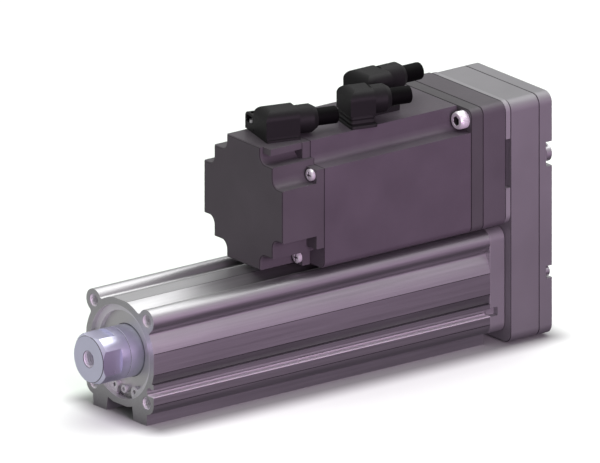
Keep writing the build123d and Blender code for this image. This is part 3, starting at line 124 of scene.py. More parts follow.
class Finish(Wiring):
    """A surface finish under construction: its nodes, and the shader that they feed."""

    def __init__(self, name):
        self.material = bpy.data.materials.new(name)
        self.material.use_nodes = True
        super().__init__(self.material.node_tree)
        self.shader = self.tree.nodes["Principled BSDF"]

    def feed(self, **sockets):
        """Gives the shader its values; an underscore stands for a space in a socket's name."""
        for key, value in sockets.items():
            self.join(value, self.shader.inputs[key.replace("_", " ")])

    def place(self, scale=(1, 1, 1)):
        """Position on the piece in metres, stretched or squeezed per axis."""
        spot = self.node("ShaderNodeTexCoord")[3]
        return self.node("ShaderNodeMapping", None, {"Vector": spot, "Scale": scale})[0]

    def grain(self, size, scale=(1, 1, 1), detail=3.0):
        """Noise from 0 to 1 with features of about the given size in metres."""
        inputs = {"Vector": self.place(scale), "Scale": 1 / size, "Detail": detail, "Roughness": 0.5}
        return self.node("ShaderNodeTexNoise", None, inputs)[0]

    def yards(self):
        """Distance along X, across (without its sign) and up, in metres."""
        along, across, up = self.node("ShaderNodeSeparateXYZ", None, {0: self.place()})
        return along, abs(across), up

    def disc(self, y, z, radius):
        """1 within a radius of the line along X through (y, z) and of its mirror line, else 0."""
        across, up = self.yards()[1:]
        off_y = across - y
        off_z = up - z
        return 1 - (off_y * off_y + off_z * off_z > radius**2)

    def stripe(self, value, middle, half):
        """1 where a value lies within half a width of a middle, else 0."""
        return 1 - (abs(value - middle) > half)

    def relief(self, height, depth):
        """Bump from a height field; depth is the height of a full step in metres."""
        return self.node("ShaderNodeBump", None, {"Height": height, "Distance": depth, "Strength": 1.0})[0]


def toned(colour, share):
    """A colour made darker or lighter."""
    return tuple(share * c for c in colour)


def dress(finish, *names):
    """Gives the frame's own pieces a finish in place of their plain one."""
    for name in names:
        nodes[name].data.materials.clear()
        nodes[name].data.materials.append(finish.material)


CUT_BRIGHT_AND_HIGHLIGHT = (0.90, 0.89, 0.90)
CREASE_DARK = (0.02, 0.018, 0.02)


def drawn_aluminium(name, colour, metallic=0.9, machined_and_highlight=None, dark_creases=None):
    """Natural anodised extrusion: die lines along the length, faint clouding and a fine pitted bloom.

    One mask gives the places that were cut bright after anodising, together with painted highlights; the other gives
    dark lines painted along the creases.
    """
    finish = Finish(name)
    bright = machined_and_highlight(finish) if machined_and_highlight else 0.0
    crease_darkening = dark_creases(finish) if dark_creases else 0.0
    lines = finish.grain(1.1 * MM, (0.02, 1, 1), 4.0)
    clouds = finish.grain(30 * MM, (0.3, 1, 1))
    bloom = finish.grain(0.35 * MM)
    tone = finish.spread(lines * 0.35 + clouds * 0.5 + bloom * 0.15, 0.35, 0.65)
    drawn = finish.blend(tone, toned(colour, 0.86), toned(colour, 1.08))
    # Dark lines painted along the creases.
    drawn = finish.blend(crease_darkening * 0.75, drawn, CREASE_DARK)
    finish.feed(
        Base_Color=finish.blend(bright, drawn, CUT_BRIGHT_AND_HIGHLIGHT),
        Metallic=metallic - 0.8 * bright,
        Roughness=0.32 + lines * 0.10 + bloom * 0.08,
        Normal=finish.relief(lines * 0.7 + bloom * 0.3, 0.04 * MM),
    )
    return finish


FRONT_BORE_R = 22.7 * MM
GROOVE_LEDGE = -15.8 * MM  # height of the groove's lower lip
LEDGE_HALF = 0.35 * MM
FLAT_EDGE = 5.07 * MM  # from the tube's middle to where a flat meets the barrel
CHEEK_EDGES = (-9.8 * MM, -20 * MM)
BEHIND_FLATS = 21 * MM  # past this distance from the axis lie only the tube's outer faces
CREASE_HALF = 0.18 * MM
FACE_RIM = -0.3 * MM  # the front face stays clear of creases


def tube_cuts_and_highlight(finish):
    """The turned front bore, bright from cutting, and a painted highlight along the lower lip of the sensor groove."""
    across, up = finish.yards()[1:]
    # Painted highlight: a bright strip along the lower lip of the sensor groove, on the outer faces only.
    ledge_highlight = finish.stripe(up, GROOVE_LEDGE, LEDGE_HALF) * (across > BEHIND_FLATS)
    return finish.disc(0, 0, FRONT_BORE_R) * 0.3 + ledge_highlight * 0.7


def tube_crease_lines(finish):
    """Dark lines painted where the barrel meets its four flats, and along the edges of the cheek at each side."""
    along, across, up = finish.yards()
    side = finish.stripe(abs(up), FLAT_EDGE, CREASE_HALF)
    top = finish.stripe(across, FLAT_EDGE, CREASE_HALF) * (up > BEHIND_FLATS)
    cheek = finish.stripe(up, CHEEK_EDGES[0], CREASE_HALF) + finish.stripe(up, CHEEK_EDGES[1], CREASE_HALF)
    return ((side + cheek) * (across > BEHIND_FLATS) + top) * (1 - (along > FACE_RIM))


SILVER = (0.47, 0.47, 0.475)
dress(drawn_aluminium("drawn_silver", SILVER, 0.96, tube_cuts_and_highlight, tube_crease_lines), "body_tube")


def mesh_piece(name, points, faces, finish, slot_name, body, *replaced, smooth):
    """Puts worked-out points and faces into one piece, gives it its finish and lets it ride on its body.

    Smooth is the angle in degrees past which an edge stays sharp.
    """
    mesh = bpy.data.meshes.new(name)
    mesh.from_pydata(points.reshape(-1, 3).tolist(), [], faces.tolist())
    mesh.update()
    piece = bpy.data.objects.new(name, mesh)
    bpy.context.scene.collection.objects.link(piece)
    mesh.materials.append(finish.material)
    mesh.polygons.foreach_set("use_smooth", np.full(len(mesh.polygons), True))
    mesh.set_sharp_from_angle(angle=math.radians(smooth))
    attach(piece, body)
    if replaced:
        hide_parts(*replaced)


def grid_faces(rows, columns):
    """Quads of a grid of points whose rows run along the profile, with the last column joined to the first."""
    i, j = np.meshgrid(np.arange(rows - 1), np.arange(columns), indexing="ij")
    k = (j + 1) % columns
    quads = np.stack([i * columns + j, i * columns + k, (i + 1) * columns + k, (i + 1) * columns + j], -1)
    return quads.reshape(-1, 4)


INSIDE_HOLE = 0.995  # share of the hole's radius that the thread's root has
RIDGE_HEIGHT = 0.324  # in pitches


def thread(y, z, mouth, depth, radius, pitch, steps=24):
    """Wall of a tapped hole along X: radius = r - h * tri(turns), with a ridge that climbs one pitch a turn.

    The ridge rises from nothing over the first pitch.
    """
    turn = np.linspace(0, 2 * np.pi, steps, endpoint=False)
    along = np.linspace(0, depth, int(4 * depth / pitch) + 1)
    ridge = np.abs(((along[:, None] / pitch - turn[None, :] / (2 * np.pi)) % 1) * 2 - 1)
    r = radius * INSIDE_HOLE - RIDGE_HEIGHT * pitch * ridge * np.clip(along[:, None] / pitch, 0, 1)
    x = np.broadcast_to(mouth - along[:, None], r.shape)
    points = np.stack([x, y + r * np.cos(turn), z + r * np.sin(turn)], -1)
    return points, grid_faces(len(along), steps)[:, ::-1]


def joined(parts):
    """Several grids as one set of points and faces."""
    points = [part[0].reshape(-1, 3) for part in parts]
    starts = np.cumsum([0] + [len(one) for one in points[:-1]])
    return np.concatenate(points), np.concatenate([part[1] + start for part, start in zip(parts, starts)])


RECESS_SHADE = (0.01, 0.01, 0.01)


def machined_steel(name, colour, roughness=0.28, metallic=0.9, socket=None):
    """Turned or milled steel: a tight tool-mark grain and faint smears, and painted shade in the socket of a screw.

    Socket holds the discs of the recesses and how far forward along X they reach.
    """
    finish = Finish(name)
    marks = finish.grain(0.6 * MM, detail=4.0)
    smears = finish.grain(9 * MM)
    shade = finish.blend(smears, toned(colour, 0.85), colour)
    if socket:
        discs, mouth = socket
        # Painted shade: the recess of a screw's socket is darkened nearly to black.
        hollow = sum(finish.disc(*disc) for disc in discs) * (1 - (finish.yards()[0] > mouth))
        shade = finish.blend(hollow * 0.95, shade, RECESS_SHADE)
    finish.feed(
        Base_Color=shade,
        Metallic=metallic,
        Roughness=roughness + marks * 0.12 + smears * 0.06,
        Normal=finish.relief(marks, 0.02 * MM),
    )
    return finish


HOLE_SPACING = 40 * MM
HOLE_DEPTH = 9.6 * MM
M6_RADIUS = 3 * MM
M6_PITCH = 1 * MM
MOUTH_BEVEL = 0.3 * MM
cut_aluminium = machined_steel("cut_aluminium", (0.92, 0.91, 0.93), 0.5, 0.15)
front_holes = [
    thread(y, z, -MOUTH_BEVEL, HOLE_DEPTH, M6_RADIUS, M6_PITCH)
    for y in (-HOLE_SPACING / 2, HOLE_SPACING / 2)
    for z in (-HOLE_SPACING / 2, HOLE_SPACING / 2)
]
mesh_piece("front_hole_threads", *joined(front_holes), cut_aluminium, "anodised_body", "body", smooth=40)

# Piston rod and rod socket
# The rod is a steel tube, hard-chromed and ground, and the socket pressed into it is turned from steel, with four
# milled wrench flats and an M8 hole. Both carry fine rings from grinding and a faint bluish cast.
SEAM = 0.28 * MM
SEAM_DARK = (0.012, 0.011, 0.012)


def seams(finish, name, colour):
    """Darkens a colour in a band half a seam wide, just short of each end of a piece."""
    low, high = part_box(name)
    middle = (low.x + high.x) / 2
    near = finish.stripe(abs(finish.yards()[0] - middle), high.x - middle - 0.6 * SEAM, 0.5 * SEAM)
    return finish.blend(near * 0.85, colour, SEAM_DARK)


def chromed_steel(piece, name, colour, rings_size):
    """Ground chrome: very fine rings round the axis, long faint wipe marks and a dark line at each end."""
    finish = Finish(name)
    rings = finish.grain(rings_size, (1, 0.05, 0.05), 2.0)
    wipes = finish.grain(12 * MM, (0.25, 1, 1))
    finish.feed(
        Base_Color=seams(finish, piece, finish.blend(wipes, toned(colour, 0.88), colour)),
        Metallic=0.9,
        Roughness=0.22 + rings * 0.08 + wipes * 0.08,
        Normal=finish.relief(rings, 0.012 * MM),
    )
    dress(finish, piece)


LAVENDER_STEEL = (0.80, 0.81, 0.97)
chromed_steel("piston_rod", "ground_chrome", LAVENDER_STEEL, 0.5 * MM)
chromed_steel("rod_socket", "turned_socket", (0.76, 0.77, 0.94), 0.9 * MM)

socket_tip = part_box("rod_socket")[1].x
M8_RADIUS = 4 * MM
M8_PITCH = 1.25 * MM
ROD_HOLE_DEPTH = 12.4 * MM
dark_bore = machined_steel("dark_bore", (0.90, 0.88, 0.96), 0.5, 0.15)
rod_thread = thread(0, 0, socket_tip - MOUTH_BEVEL, ROD_HOLE_DEPTH, M8_RADIUS, M8_PITCH, 32)
mesh_piece("rod_end_thread", *rod_thread, dark_bore, "chrome_rod", "rod", smooth=40)

# Rod cover, seal, bushing and retaining ring
# The cover is a turned aluminium disc with a facing pattern of fine circles. A bright spring-steel ring with two
# drilled lugs holds it in its groove, and a small screw between the lugs stops the ring from turning.
FACING_PITCH = 0.55 * MM


def faced_aluminium(name, colour):
    """Face turned on a lathe: faint circles round the axis over light clouding."""
    finish = Finish(name)
    radius = finish.vectors("LENGTH", finish.vectors("MULTIPLY", finish.place(), (0, 1, 1))[0])[1]
    circles = finish.node("ShaderNodeMath", {"operation": "SINE"}, {0: radius * (2 * math.pi / FACING_PITCH)})[0]
    clouds = finish.grain(14 * MM)
    finish.feed(
        Base_Color=finish.blend(clouds, toned(colour, 0.9), toned(colour, 1.06)),
        Metallic=0.85,
        Roughness=0.34 + circles * 0.04 + clouds * 0.1,
        Normal=finish.relief(circles, 0.006 * MM),
    )
    return finish


dress(faced_aluminium("turned_cover", (0.62, 0.62, 0.61)), "rod_cover")
dress(machined_steel("spring_steel", (0.80, 0.80, 0.81), 0.3, 0.5), "retaining_ring")
dress(machined_steel("bright_zinc", (0.80, 0.80, 0.81), 0.25, 0.5), "ring_lock_screw")


def soft_rubber(name, colour=(0.014, 0.014, 0.014)):
    """Black rubber: dull, with a fine bloom and shallow flow marks."""
    finish = Finish(name)
    bloom = finish.grain(0.8 * MM, detail=5.0)
    flow = finish.grain(6 * MM)
    finish.feed(
        Specular_IOR_Level=0.05,
        Base_Color=finish.blend(flow * 0.6 + bloom * 0.4, colour, toned(colour, 1.9)),
        Roughness=0.52 + bloom * 0.2,
        Normal=finish.relief(bloom, 0.03 * MM),
    )
    return finish


black_rubber = soft_rubber("black_rubber")
dress(black_rubber, "rod_seal", "rear_bumper", "timing_belt")
oiled_bronze = machined_steel("oiled_bronze", (0.38, 0.24, 0.10), 0.35)
dress(oiled_bronze, "rod_bushing")

# Piston, nut, screw and what keeps them in line
# These sit inside the body: an aluminium piston with a filled resin wear ring, a magnet and a stopper, the ground
# ball nut, and the screw with its tip bush.
dress(drawn_aluminium("turned_piston", (0.40, 0.40, 0.41)), "piston")
filled_resin = soft_rubber("filled_resin", (0.32, 0.30, 0.25))
dress(filled_resin, "piston_wear_ring", "rotation_stopper", "screw_tip_bush")
inner_steel = machined_steel("inner_steel", (0.42, 0.42, 0.44))
dress(inner_steel, "ball_nut", "ball_screw", "screw_bearing_inner", "screw_bearing_outer", "bearing_stopper")
plated_magnet = machined_steel("plated_magnet", (0.16, 0.16, 0.17), 0.34)
dress(plated_magnet, "piston_magnet", "rotor_magnets", "stator_core")

# Bearing housing, return box and its cover
# Three blocks milled from aluminium plate and anodised: the square housing with the screw bearings, the tall box with
# the belt and the lid behind it. All are bead-blasted to a soft grain, as is the pale tension plate before the adapter.


def blasted_aluminium(piece, name, colour, metallic=0.7):
    """Bead-blasted and anodised plate: an even fine grain, broad soft clouding and dark seams."""
    finish = Finish(name)
    grain = finish.grain(0.5 * MM, detail=4.0)
    clouds = finish.grain(25 * MM)
    tone = finish.spread(grain * 0.3 + clouds * 0.7, 0.3, 0.7)
    cloudy = finish.blend(tone, toned(colour, 0.92), toned(colour, 1.05))
    finish.feed(
        Base_Color=seams(finish, piece, cloudy),
        Metallic=metallic,
        Roughness=0.50 + grain * 0.12 + clouds * 0.05,
        Normal=finish.relief(grain, 0.03 * MM),
    )
    dress(finish, piece)


blasted_aluminium("bearing_housing", "blasted_housing", (0.29, 0.29, 0.295))
blasted_aluminium("return_box", "blasted_box", (0.25, 0.25, 0.255))
blasted_aluminium("return_cover", "blasted_lid", (0.255, 0.255, 0.26))
blasted_aluminium("tension_plate", "pale_pad", (0.28, 0.28, 0.285), 0.5)
dress(machined_steel("pulley_alloy", (0.40, 0.40, 0.41), 0.36, 0.7), "screw_pulley", "motor_pulley")

# Motor adapter, flange, housing and encoder cover
# The motor is an aluminium extrusion with its corners cut back, between a die-cast flange and a moulded encoder cover.
# All of it is sprayed satin black, which leaves a slight orange peel, with dust and a few grey specks on it.
SPECK_GREY = (0.10, 0.10, 0.10)


def satin_black(piece, name, colour, grain_size=1.4 * MM, depth=0.04 * MM):
    """Sprayed satin black: orange peel under a thin clear layer, dust-grey clouding and dark seams."""
    finish = Finish(name)
    peel = finish.grain(grain_size, detail=2.0)
    dust = finish.grain(20 * MM, detail=4.0)
    specks = finish.spread(finish.grain(0.7 * MM, detail=5.0), 0.62, 0.75)
    tone = finish.blend(dust, toned(colour, 0.85), toned(colour, 1.25))
    finish.feed(
        Specular_IOR_Level=0.2,
        Base_Color=seams(finish, piece, finish.blend(specks * 0.25, tone, SPECK_GREY)),
        Roughness=0.36 + peel * 0.1 + dust * 0.12,
        Coat_Weight=0.03 + dust * 0.05,
        Normal=finish.relief(peel, depth),
    )
    dress(finish, piece)


MOTOR_BLACK = (0.075, 0.066, 0.076)
satin_black("motor_housing", "sprayed_housing", MOTOR_BLACK)
satin_black("motor_flange", "cast_flange", (0.062, 0.060, 0.062), 1.1 * MM, 0.06 * MM)
satin_black("motor_adapter", "adapter_black", (0.078, 0.072, 0.079))
satin_black("encoder_cover", "moulded_cover", (0.068, 0.062, 0.068), 0.6 * MM)
dress(inner_steel, "motor_shaft", "motor_bearing_inner", "motor_bearing_outer", "brake_coil", "brake_armature")
dress(inner_steel, "brake_disc", "encoder_disc")
dress(machined_steel("winding_copper", (0.50, 0.20, 0.10), 0.3), "stator_windings")
satin_black("encoder_board", "solder_mask", (0.02, 0.12, 0.05), 2 * MM)

# Socket-head screws of the motor flange
# Two M5 cap screws of zinc-plated steel, cold-headed, with a knurled head, a rounded rim and a hexagon socket. They sit
# in the notches of the housing's upper corners.
POINTED = 0.02  # what is left of a radius where a surface closes on its axis
KNURL_DEPTH = 0.035  # share of the head's radius
ACROSS_FLATS = 0.47  # half of the hexagon's width, in head radii


def knurled_head(seat, top, radius, y, z, knurls=36, steps=144):
    """Head of a cap screw along +X: a profile of rings, where the side's radius is r * (1 - k * tri(turn * knurls)).

    From the seat outwards: flat underside, knurled side, rounded rim, flat top, hexagon wall and the socket's floor.
    The hexagon's radius at an angle is a / cos(angle within its sixth).
    """
    turn = np.linspace(0, 2 * np.pi, steps, endpoint=False)
    tooth = 1 - KNURL_DEPTH * np.abs(((turn * knurls / (2 * np.pi)) % 1) * 2 - 1)
    sixth = (turn + np.pi / 6) % (np.pi / 3) - np.pi / 6
    hexagon = radius * ACROSS_FLATS / np.cos(sixth)
    height = top - seat
    even = np.ones(steps)
    rings = [
        (seat, radius * 0.3 * even),
        (seat, radius * 0.955 * tooth),
        (seat + height * 0.06, radius * tooth),
        (seat + height * 0.78, radius * tooth),
        (seat + height * 0.80, radius * 0.962 * even),
        (seat + height * 0.90, radius * 0.950 * even),
        (top - height * 0.03, radius * 0.90 * even),
        (top, radius * 0.84 * even),
        (top, hexagon * 1.06),
        (top - height * 0.04, hexagon),
        (top - height * 0.52, hexagon),
        (top - height * 0.60, POINTED * hexagon),
    ]
    x = np.array([ring[0] for ring in rings])[:, None] * np.ones(steps)
    r = np.array([ring[1] for ring in rings])
    points = np.stack([x, y + r * np.cos(turn), z + r * np.sin(turn)], -1)
    return points, grid_faces(len(rings), steps)


M5_PITCH = 0.8 * MM
INSIDE_SHANK = 0.99  # share of the shank's radius that the thread's crest has
THREAD_SWING = 0.35  # depth of the thread, in pitches


def shank(tip, seat, radius, y, z, pitch=M5_PITCH, steps=16):
    """Threaded shank: rings along X whose radius swings by the thread's depth, once a pitch."""
    along = np.linspace(tip, seat, max(3, int(3 * abs(seat - tip) / pitch)))
    turn = np.linspace(0, 2 * np.pi, steps, endpoint=False)
    swing = np.abs(((along[:, None] / pitch + turn / (2 * np.pi)) % 1) * 2 - 1)
    r = radius * INSIDE_SHANK - THREAD_SWING * pitch * swing
    r[0] = POINTED * radius
    x = np.broadcast_to(along[:, None], r.shape)
    points = np.stack([x, y + r * np.cos(turn), z + r * np.sin(turn)], -1)
    return points, grid_faces(len(along), steps)


motor_low, motor_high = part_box("motor_housing")
motor_axis = (motor_low.z + motor_high.z) / 2
bolts_low, bolts_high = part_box("motor_flange_screws")
bolt_z = (bolts_low.z + bolts_high.z) / 2
bolt_head = (bolts_high.z - bolts_low.z) / 2
flange_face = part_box("motor_flange")[1].x
BOLT_SHANK_R = 2.48 * MM
SOCKET_SHARE = 0.56  # radius of the darkened socket, in head radii
SOCKET_RIM = 0.1 * MM
bolt_socket = ([(bolts_high.y - bolt_head, bolt_z, bolt_head * SOCKET_SHARE)], bolts_high.x - SOCKET_RIM)
bolt_zinc = machined_steel("plated_cap_screw", (0.84, 0.84, 0.85), 0.24, 0.5, socket=bolt_socket)
bolt_parts = []
for y in (bolts_low.y + bolt_head, bolts_high.y - bolt_head):
    bolt_parts.append(knurled_head(flange_face, bolts_high.x, bolt_head, y, bolt_z))
    bolt_parts.append(shank(bolts_low.x, flange_face, BOLT_SHANK_R, y, bolt_z))
mesh_piece(
    "motor_cap_screws", *joined(bolt_parts), bolt_zinc, "bright_screws", "body", "motor_flange_screws", smooth=30
)

# Pan-head screws of the encoder cover
# Four small machine screws, nickel-plated, each with a domed head and a cross recess.
DOME_FALL = 0.28  # how far the dome falls at its rim, as a share of its height
CROSS_DEPTH = 0.55  # depth of the cross at the middle, as a share of the height
CROSS_ARM = 0.12  # half width of an arm, in head radii
CROSS_REACH = 0.6  # length of an arm, in head radii


def cross_head(seat, top, radius, y, z, rings=16, steps=64):
    """Domed head on a polar grid, with s the radius from 0 to 1 and a the angle.

    height = top * (1 - fall * s^4), less a cross that is deep where min(|sin a|, |cos a|) * s is small.
    """
    s = np.concatenate([np.linspace(0.01, 0.97, rings), [1.0, 1.0]])[:, None]
    turn = np.linspace(0, 2 * np.pi, steps, endpoint=False)[None, :]
    dome = 1 - DOME_FALL * s**4
    arm = np.minimum(np.abs(np.sin(turn)), np.abs(np.cos(turn))) * s
    cross = np.clip((CROSS_ARM - arm) / 0.05, 0, 1) * np.clip((CROSS_REACH - s) / 0.08, 0, 1)
    height = dome - CROSS_DEPTH * cross * (1 - s * 0.8)
    height[-1] = 0
    x = seat + (top - seat) * height
    r = np.broadcast_to(radius * s, x.shape)
    points = np.stack([x, y + r * np.cos(turn), z + r * np.sin(turn)], -1)
    return points, grid_faces(len(s), steps)[:, ::-1]


pan_low, pan_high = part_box("encoder_cover_screws")
PAN_HEAD_R = 2.8 * MM
PAN_HEAD_HEIGHT = 2 * MM
PAN_SHANK_R = 1.23 * MM
PAN_PITCH = 0.5 * MM
PAN_RECESS_R = 1.7 * MM
PAN_RIM = 0.2 * MM
pan_side = pan_high.y - PAN_HEAD_R  # from the motor's axis to a screw, the long way and the short way
PAN_LOW = 16.3 * MM
pan_seat = pan_high.x - PAN_HEAD_HEIGHT
pan_places = [(pan_side, PAN_LOW), (PAN_LOW, -pan_side), (-pan_side, -PAN_LOW), (-PAN_LOW, pan_side)]
pan_parts = []
for y, z in pan_places:
    pan_parts.append(cross_head(pan_seat, pan_high.x, PAN_HEAD_R, y, motor_axis + z))
    pan_parts.append(shank(pan_low.x, pan_seat, PAN_SHANK_R, y, motor_axis + z, PAN_PITCH))
pan_recess = [(abs(y), motor_axis + z, PAN_RECESS_R) for y, z in pan_places]
pan_nickel = machined_steel("nickel_screw", (0.84, 0.84, 0.85), 0.24, 0.5, socket=(pan_recess, pan_high.x - PAN_RIM))
mesh_piece(
    "encoder_pan_screws", *joined(pan_parts), pan_nickel, "bright_screws", "body", "encoder_cover_screws", smooth=35
)

# Other screws
# Cap screws of the lid, the body bolts, the adapter's screws and the small parts' screws, all bright zinc.
bright_zinc = machined_steel("plated_screw", (0.56, 0.56, 0.57), 0.24, 0.85)
dress(bright_zinc, "cover_side_screws", "cover_small_screws", "cover_corner_screws", "body_bolts", "adapter_screws")
dress(bright_zinc, "bearing_stopper_screws", "screw_pulley_nut", "motor_pulley_set_screw", "encoder_plug_screw")

# Connectors on the motor
# Three right-angle connectors stand on the motor: encoder, brake and power. Each is a glass-filled nylon hood, moulded
# in one piece with its collar, on a base screwed to the motor. The brake's base has round ribs, and only the encoder's
# hood has an ear. Each lead is sawn off short and shows four copper cores.


def moulded_nylon(name, colour, gloss=0.40):
    """Glass-filled nylon: spark-eroded grain from the mould, with soft flow marks."""
    finish = Finish(name)
    grain = finish.grain(0.5 * MM, detail=5.0)
    flow = finish.grain(7 * MM, (0.5, 1, 1))
    finish.feed(
        Specular_IOR_Level=0.14,
        Base_Color=finish.blend(flow * 0.7 + grain * 0.3, colour, toned(colour, 1.5)),
        Roughness=gloss + grain * 0.16 + flow * 0.06,
        Normal=finish.relief(grain, 0.04 * MM),
    )
    return finish


hood_nylon = moulded_nylon("hood_nylon", (0.006, 0.006, 0.006))
dress(hood_nylon, "encoder_plug", "brake_plug", "power_plug")

motor_top = motor_high.z


def turned(points, one):
    """Turns points drawn about a connector's front middle by its angle and sets them on the motor's top."""
    c = math.cos(-one["turn"])
    s = math.sin(-one["turn"])
    out = np.empty_like(points)
    out[..., 0] = one["x"] + points[..., 0] * c - points[..., 1] * s
    out[..., 1] = one["y"] + points[..., 0] * s + points[..., 1] * c
    out[..., 2] = motor_top + points[..., 2]
    return out


BRAKE_RIBS = 2
CORNER_POWER = 14
RIB_DEPTH = 0.5 * MM
LIP = 0.78 * MM  # how far the flange stands past the hood at each side
LIP_BEVEL = 0.15 * MM
SKIN = 0.02 * MM  # the base stays this far inside the frame's


def ribbed_seat(one, ribs, steps=96):
    """Base of a connector: a rounded rectangle carried up in rings, from its flange to a neck with round ribs.

    The rectangle is |u|^n + |v|^n = 1 with n = 14, so its corners are round. Up to the flange's height it has the
    flange's size; above it ring k is drawn in by d * (1 + cos(2 pi * ribs * h)) / 2, with h from 0 to 1 up the neck.
    """
    angle = np.linspace(0, 2 * np.pi, steps, endpoint=False)
    power = CORNER_POWER
    reach = (np.abs(np.cos(angle)) ** power + np.abs(np.sin(angle)) ** power) ** (-1 / power)
    flange = one["flange"]
    rise = np.linspace(0, 1, 8 * ribs + 1)
    inset = RIB_DEPTH * (1 + np.cos(2 * np.pi * ribs * rise)) / 2 + SKIN
    wide = one["width"] / 2 + LIP
    long = (one["length"] + one["tail"]) / 2 - SKIN
    neck_wide = one["width"] / 2 - inset
    neck_long = one["length"] / 2 - inset
    neck_middle = np.full(len(rise), -one["length"] / 2)
    base_middle = -(one["length"] + one["tail"]) / 2
    half_long = np.concatenate([[POINTED * long, long, long, long - LIP_BEVEL], neck_long, [POINTED * long]])
    half_wide = np.concatenate([[POINTED * wide, wide, wide, wide - LIP_BEVEL], neck_wide, [POINTED * wide]])
    middle = np.concatenate([[base_middle] * 4, neck_middle, [-one["length"] / 2]])
    neck_up = flange + rise * (one["seat"] - flange)
    up = np.concatenate([[0, 0, flange - LIP_BEVEL, flange], neck_up, [one["seat"]]])
    u = half_long[:, None] * (reach * np.cos(angle))[None, :] + middle[:, None]
    v = half_wide[:, None] * (reach * np.sin(angle))[None, :]
    w = np.broadcast_to(up[:, None], u.shape)
    return turned(np.stack([u, v, w], -1), one), grid_faces(len(up), steps)


LEAD_LENGTH = 13.4 * MM
LEAD_R = 4.2 * MM
CORE_R = 0.85 * MM
CORE_CIRCLE = 1.5 * MM


def lead_end(one):
    """Where the lead is sawn off, measured from the connector's front."""
    return -one["length"] - one["collar"] - LEAD_LENGTH


def lead_stub(one, steps=32):
    """Sawn-off lead along -X: jacket with a rounded end and a recess where the ends of its cores sit."""
    angle = np.linspace(0, 2 * np.pi, steps, endpoint=False)
    start = -one["length"] - one["collar"] / 2
    end = lead_end(one)
    along = np.array([start, start, end + 0.6 * MM, end + 0.2 * MM, end, end, end + 0.5 * MM, end + 0.5 * MM])
    r = LEAD_R * np.array([POINTED, 0.99, 0.99, 0.96, 0.9, 0.74, 0.7, POINTED])
    across = one["shift"] + r[:, None] * np.cos(angle)
    up = one["lead"] + r[:, None] * np.sin(angle)
    jacket = np.stack([along[:, None] * np.ones(steps), across, up], -1)
    return turned(jacket, one), grid_faces(len(along), steps)[:, ::-1]


def lead_cores(one, steps=14):
    """Four copper cores on a circle in the cut end of a lead, each with a slightly domed tip."""
    angle = np.linspace(0, 2 * np.pi, steps, endpoint=False)
    end = lead_end(one)
    along = np.array([end + 0.6 * MM, end + 0.15 * MM, end + 0.05 * MM])
    r = CORE_R * np.array([1, 1, 0.05])
    parts = []
    for quarter in range(4):
        place = math.pi / 4 + quarter * math.pi / 2
        across = one["shift"] + CORE_CIRCLE * math.cos(place) + r[:, None] * np.cos(angle)
        up = one["lead"] + CORE_CIRCLE * math.sin(place) + r[:, None] * np.sin(angle)
        core = np.stack([along[:, None] * np.ones(steps), across, up], -1)
        parts.append((turned(core, one), grid_faces(len(along), steps)[:, ::-1]))
    return joined(parts)


def connector(x, y, turn, **sizes):
    """Place, turn and sizes of one connector in millimetres, as the frame's solids have them."""
    return {"x": x * MM, "y": y * MM, "turn": math.radians(turn)} | {key: size * MM for key, size in sizes.items()}


brake = connector(
    -123.6, 9.5, 15, length=12.6, width=17.4, seat=6, lead=10.9, shift=0.9, collar=6.7, tail=0.9, flange=1.5
)
connectors = (
    connector(-80.2, 2.3, 15, length=17, lead=7, shift=0, collar=7.8),
    brake,
    connector(-139.3, -1.75, 0, length=14.9, lead=12, shift=-1.65, collar=10.2),
)
base_nylon = moulded_nylon("base_nylon", (0.009, 0.009, 0.009), 0.46)
jacket_rubber = soft_rubber("jacket_rubber", (0.001, 0.001, 0.001))
core_copper = machined_steel("core_copper", (0.55, 0.24, 0.12), 0.3)
stubs = [lead_stub(one) for one in connectors]
cores = [lead_cores(one) for one in connectors]
brake_base = ribbed_seat(brake, BRAKE_RIBS)
mesh_piece("brake_ribbed_base", *brake_base, base_nylon, "black_plastic", "body", "brake_receptacle", smooth=50)
dress(base_nylon, "encoder_receptacle", "power_receptacle")
mesh_piece("cable_stubs", *joined(stubs), jacket_rubber, "black_rubber", "body", "lead_stubs", smooth=35)
mesh_piece("cable_cores", *joined(cores), core_copper, "copper", "body", smooth=35)

# Floor, light and camera
# A white sweep under a wide sky. A bright glow high behind the object gives the tube and the rod their highlights, and
# what the sides mirror from below is plum on the near side and grey in front, as the photograph shows them.
NEAR_PLUM = (0.30, 0.20, 0.31)
NEAR_DARK = (0.03, 0.024, 0.032)
NEAR_SPAN = (80 * MM, 200 * MM)  # on the near side the floor's mirrored colour goes from dark to plum
FRONT_GREY = (0.50, 0.50, 0.50)
UNDER_DARK = (0.07, 0.06, 0.075)
UNDER_SPAN = (0, 30 * MM)
PAINTED_SHADOW_GREY = (0.27, 0.28, 0.27)
PAINTED_SHADOW_SPAN = (-3 * MM, 16 * MM)
SWEEP_WHITE = (0.93, 1.0, 0.93)
FOOTPRINT_MIDDLE = (-115 * MM, 0, 0)
FOOTPRINT_HALF = (113 * MM, 28 * MM, 1)
NEAR_CORNER = (0, 31 * MM)
MIRROR_WAY = (-0.61, 0.79)  # across the line on the floor that parts what the front mirrors from what the side does
PARTING_SPAN = (-10 * MM, 6 * MM)
FLOOR_SIZE = 8

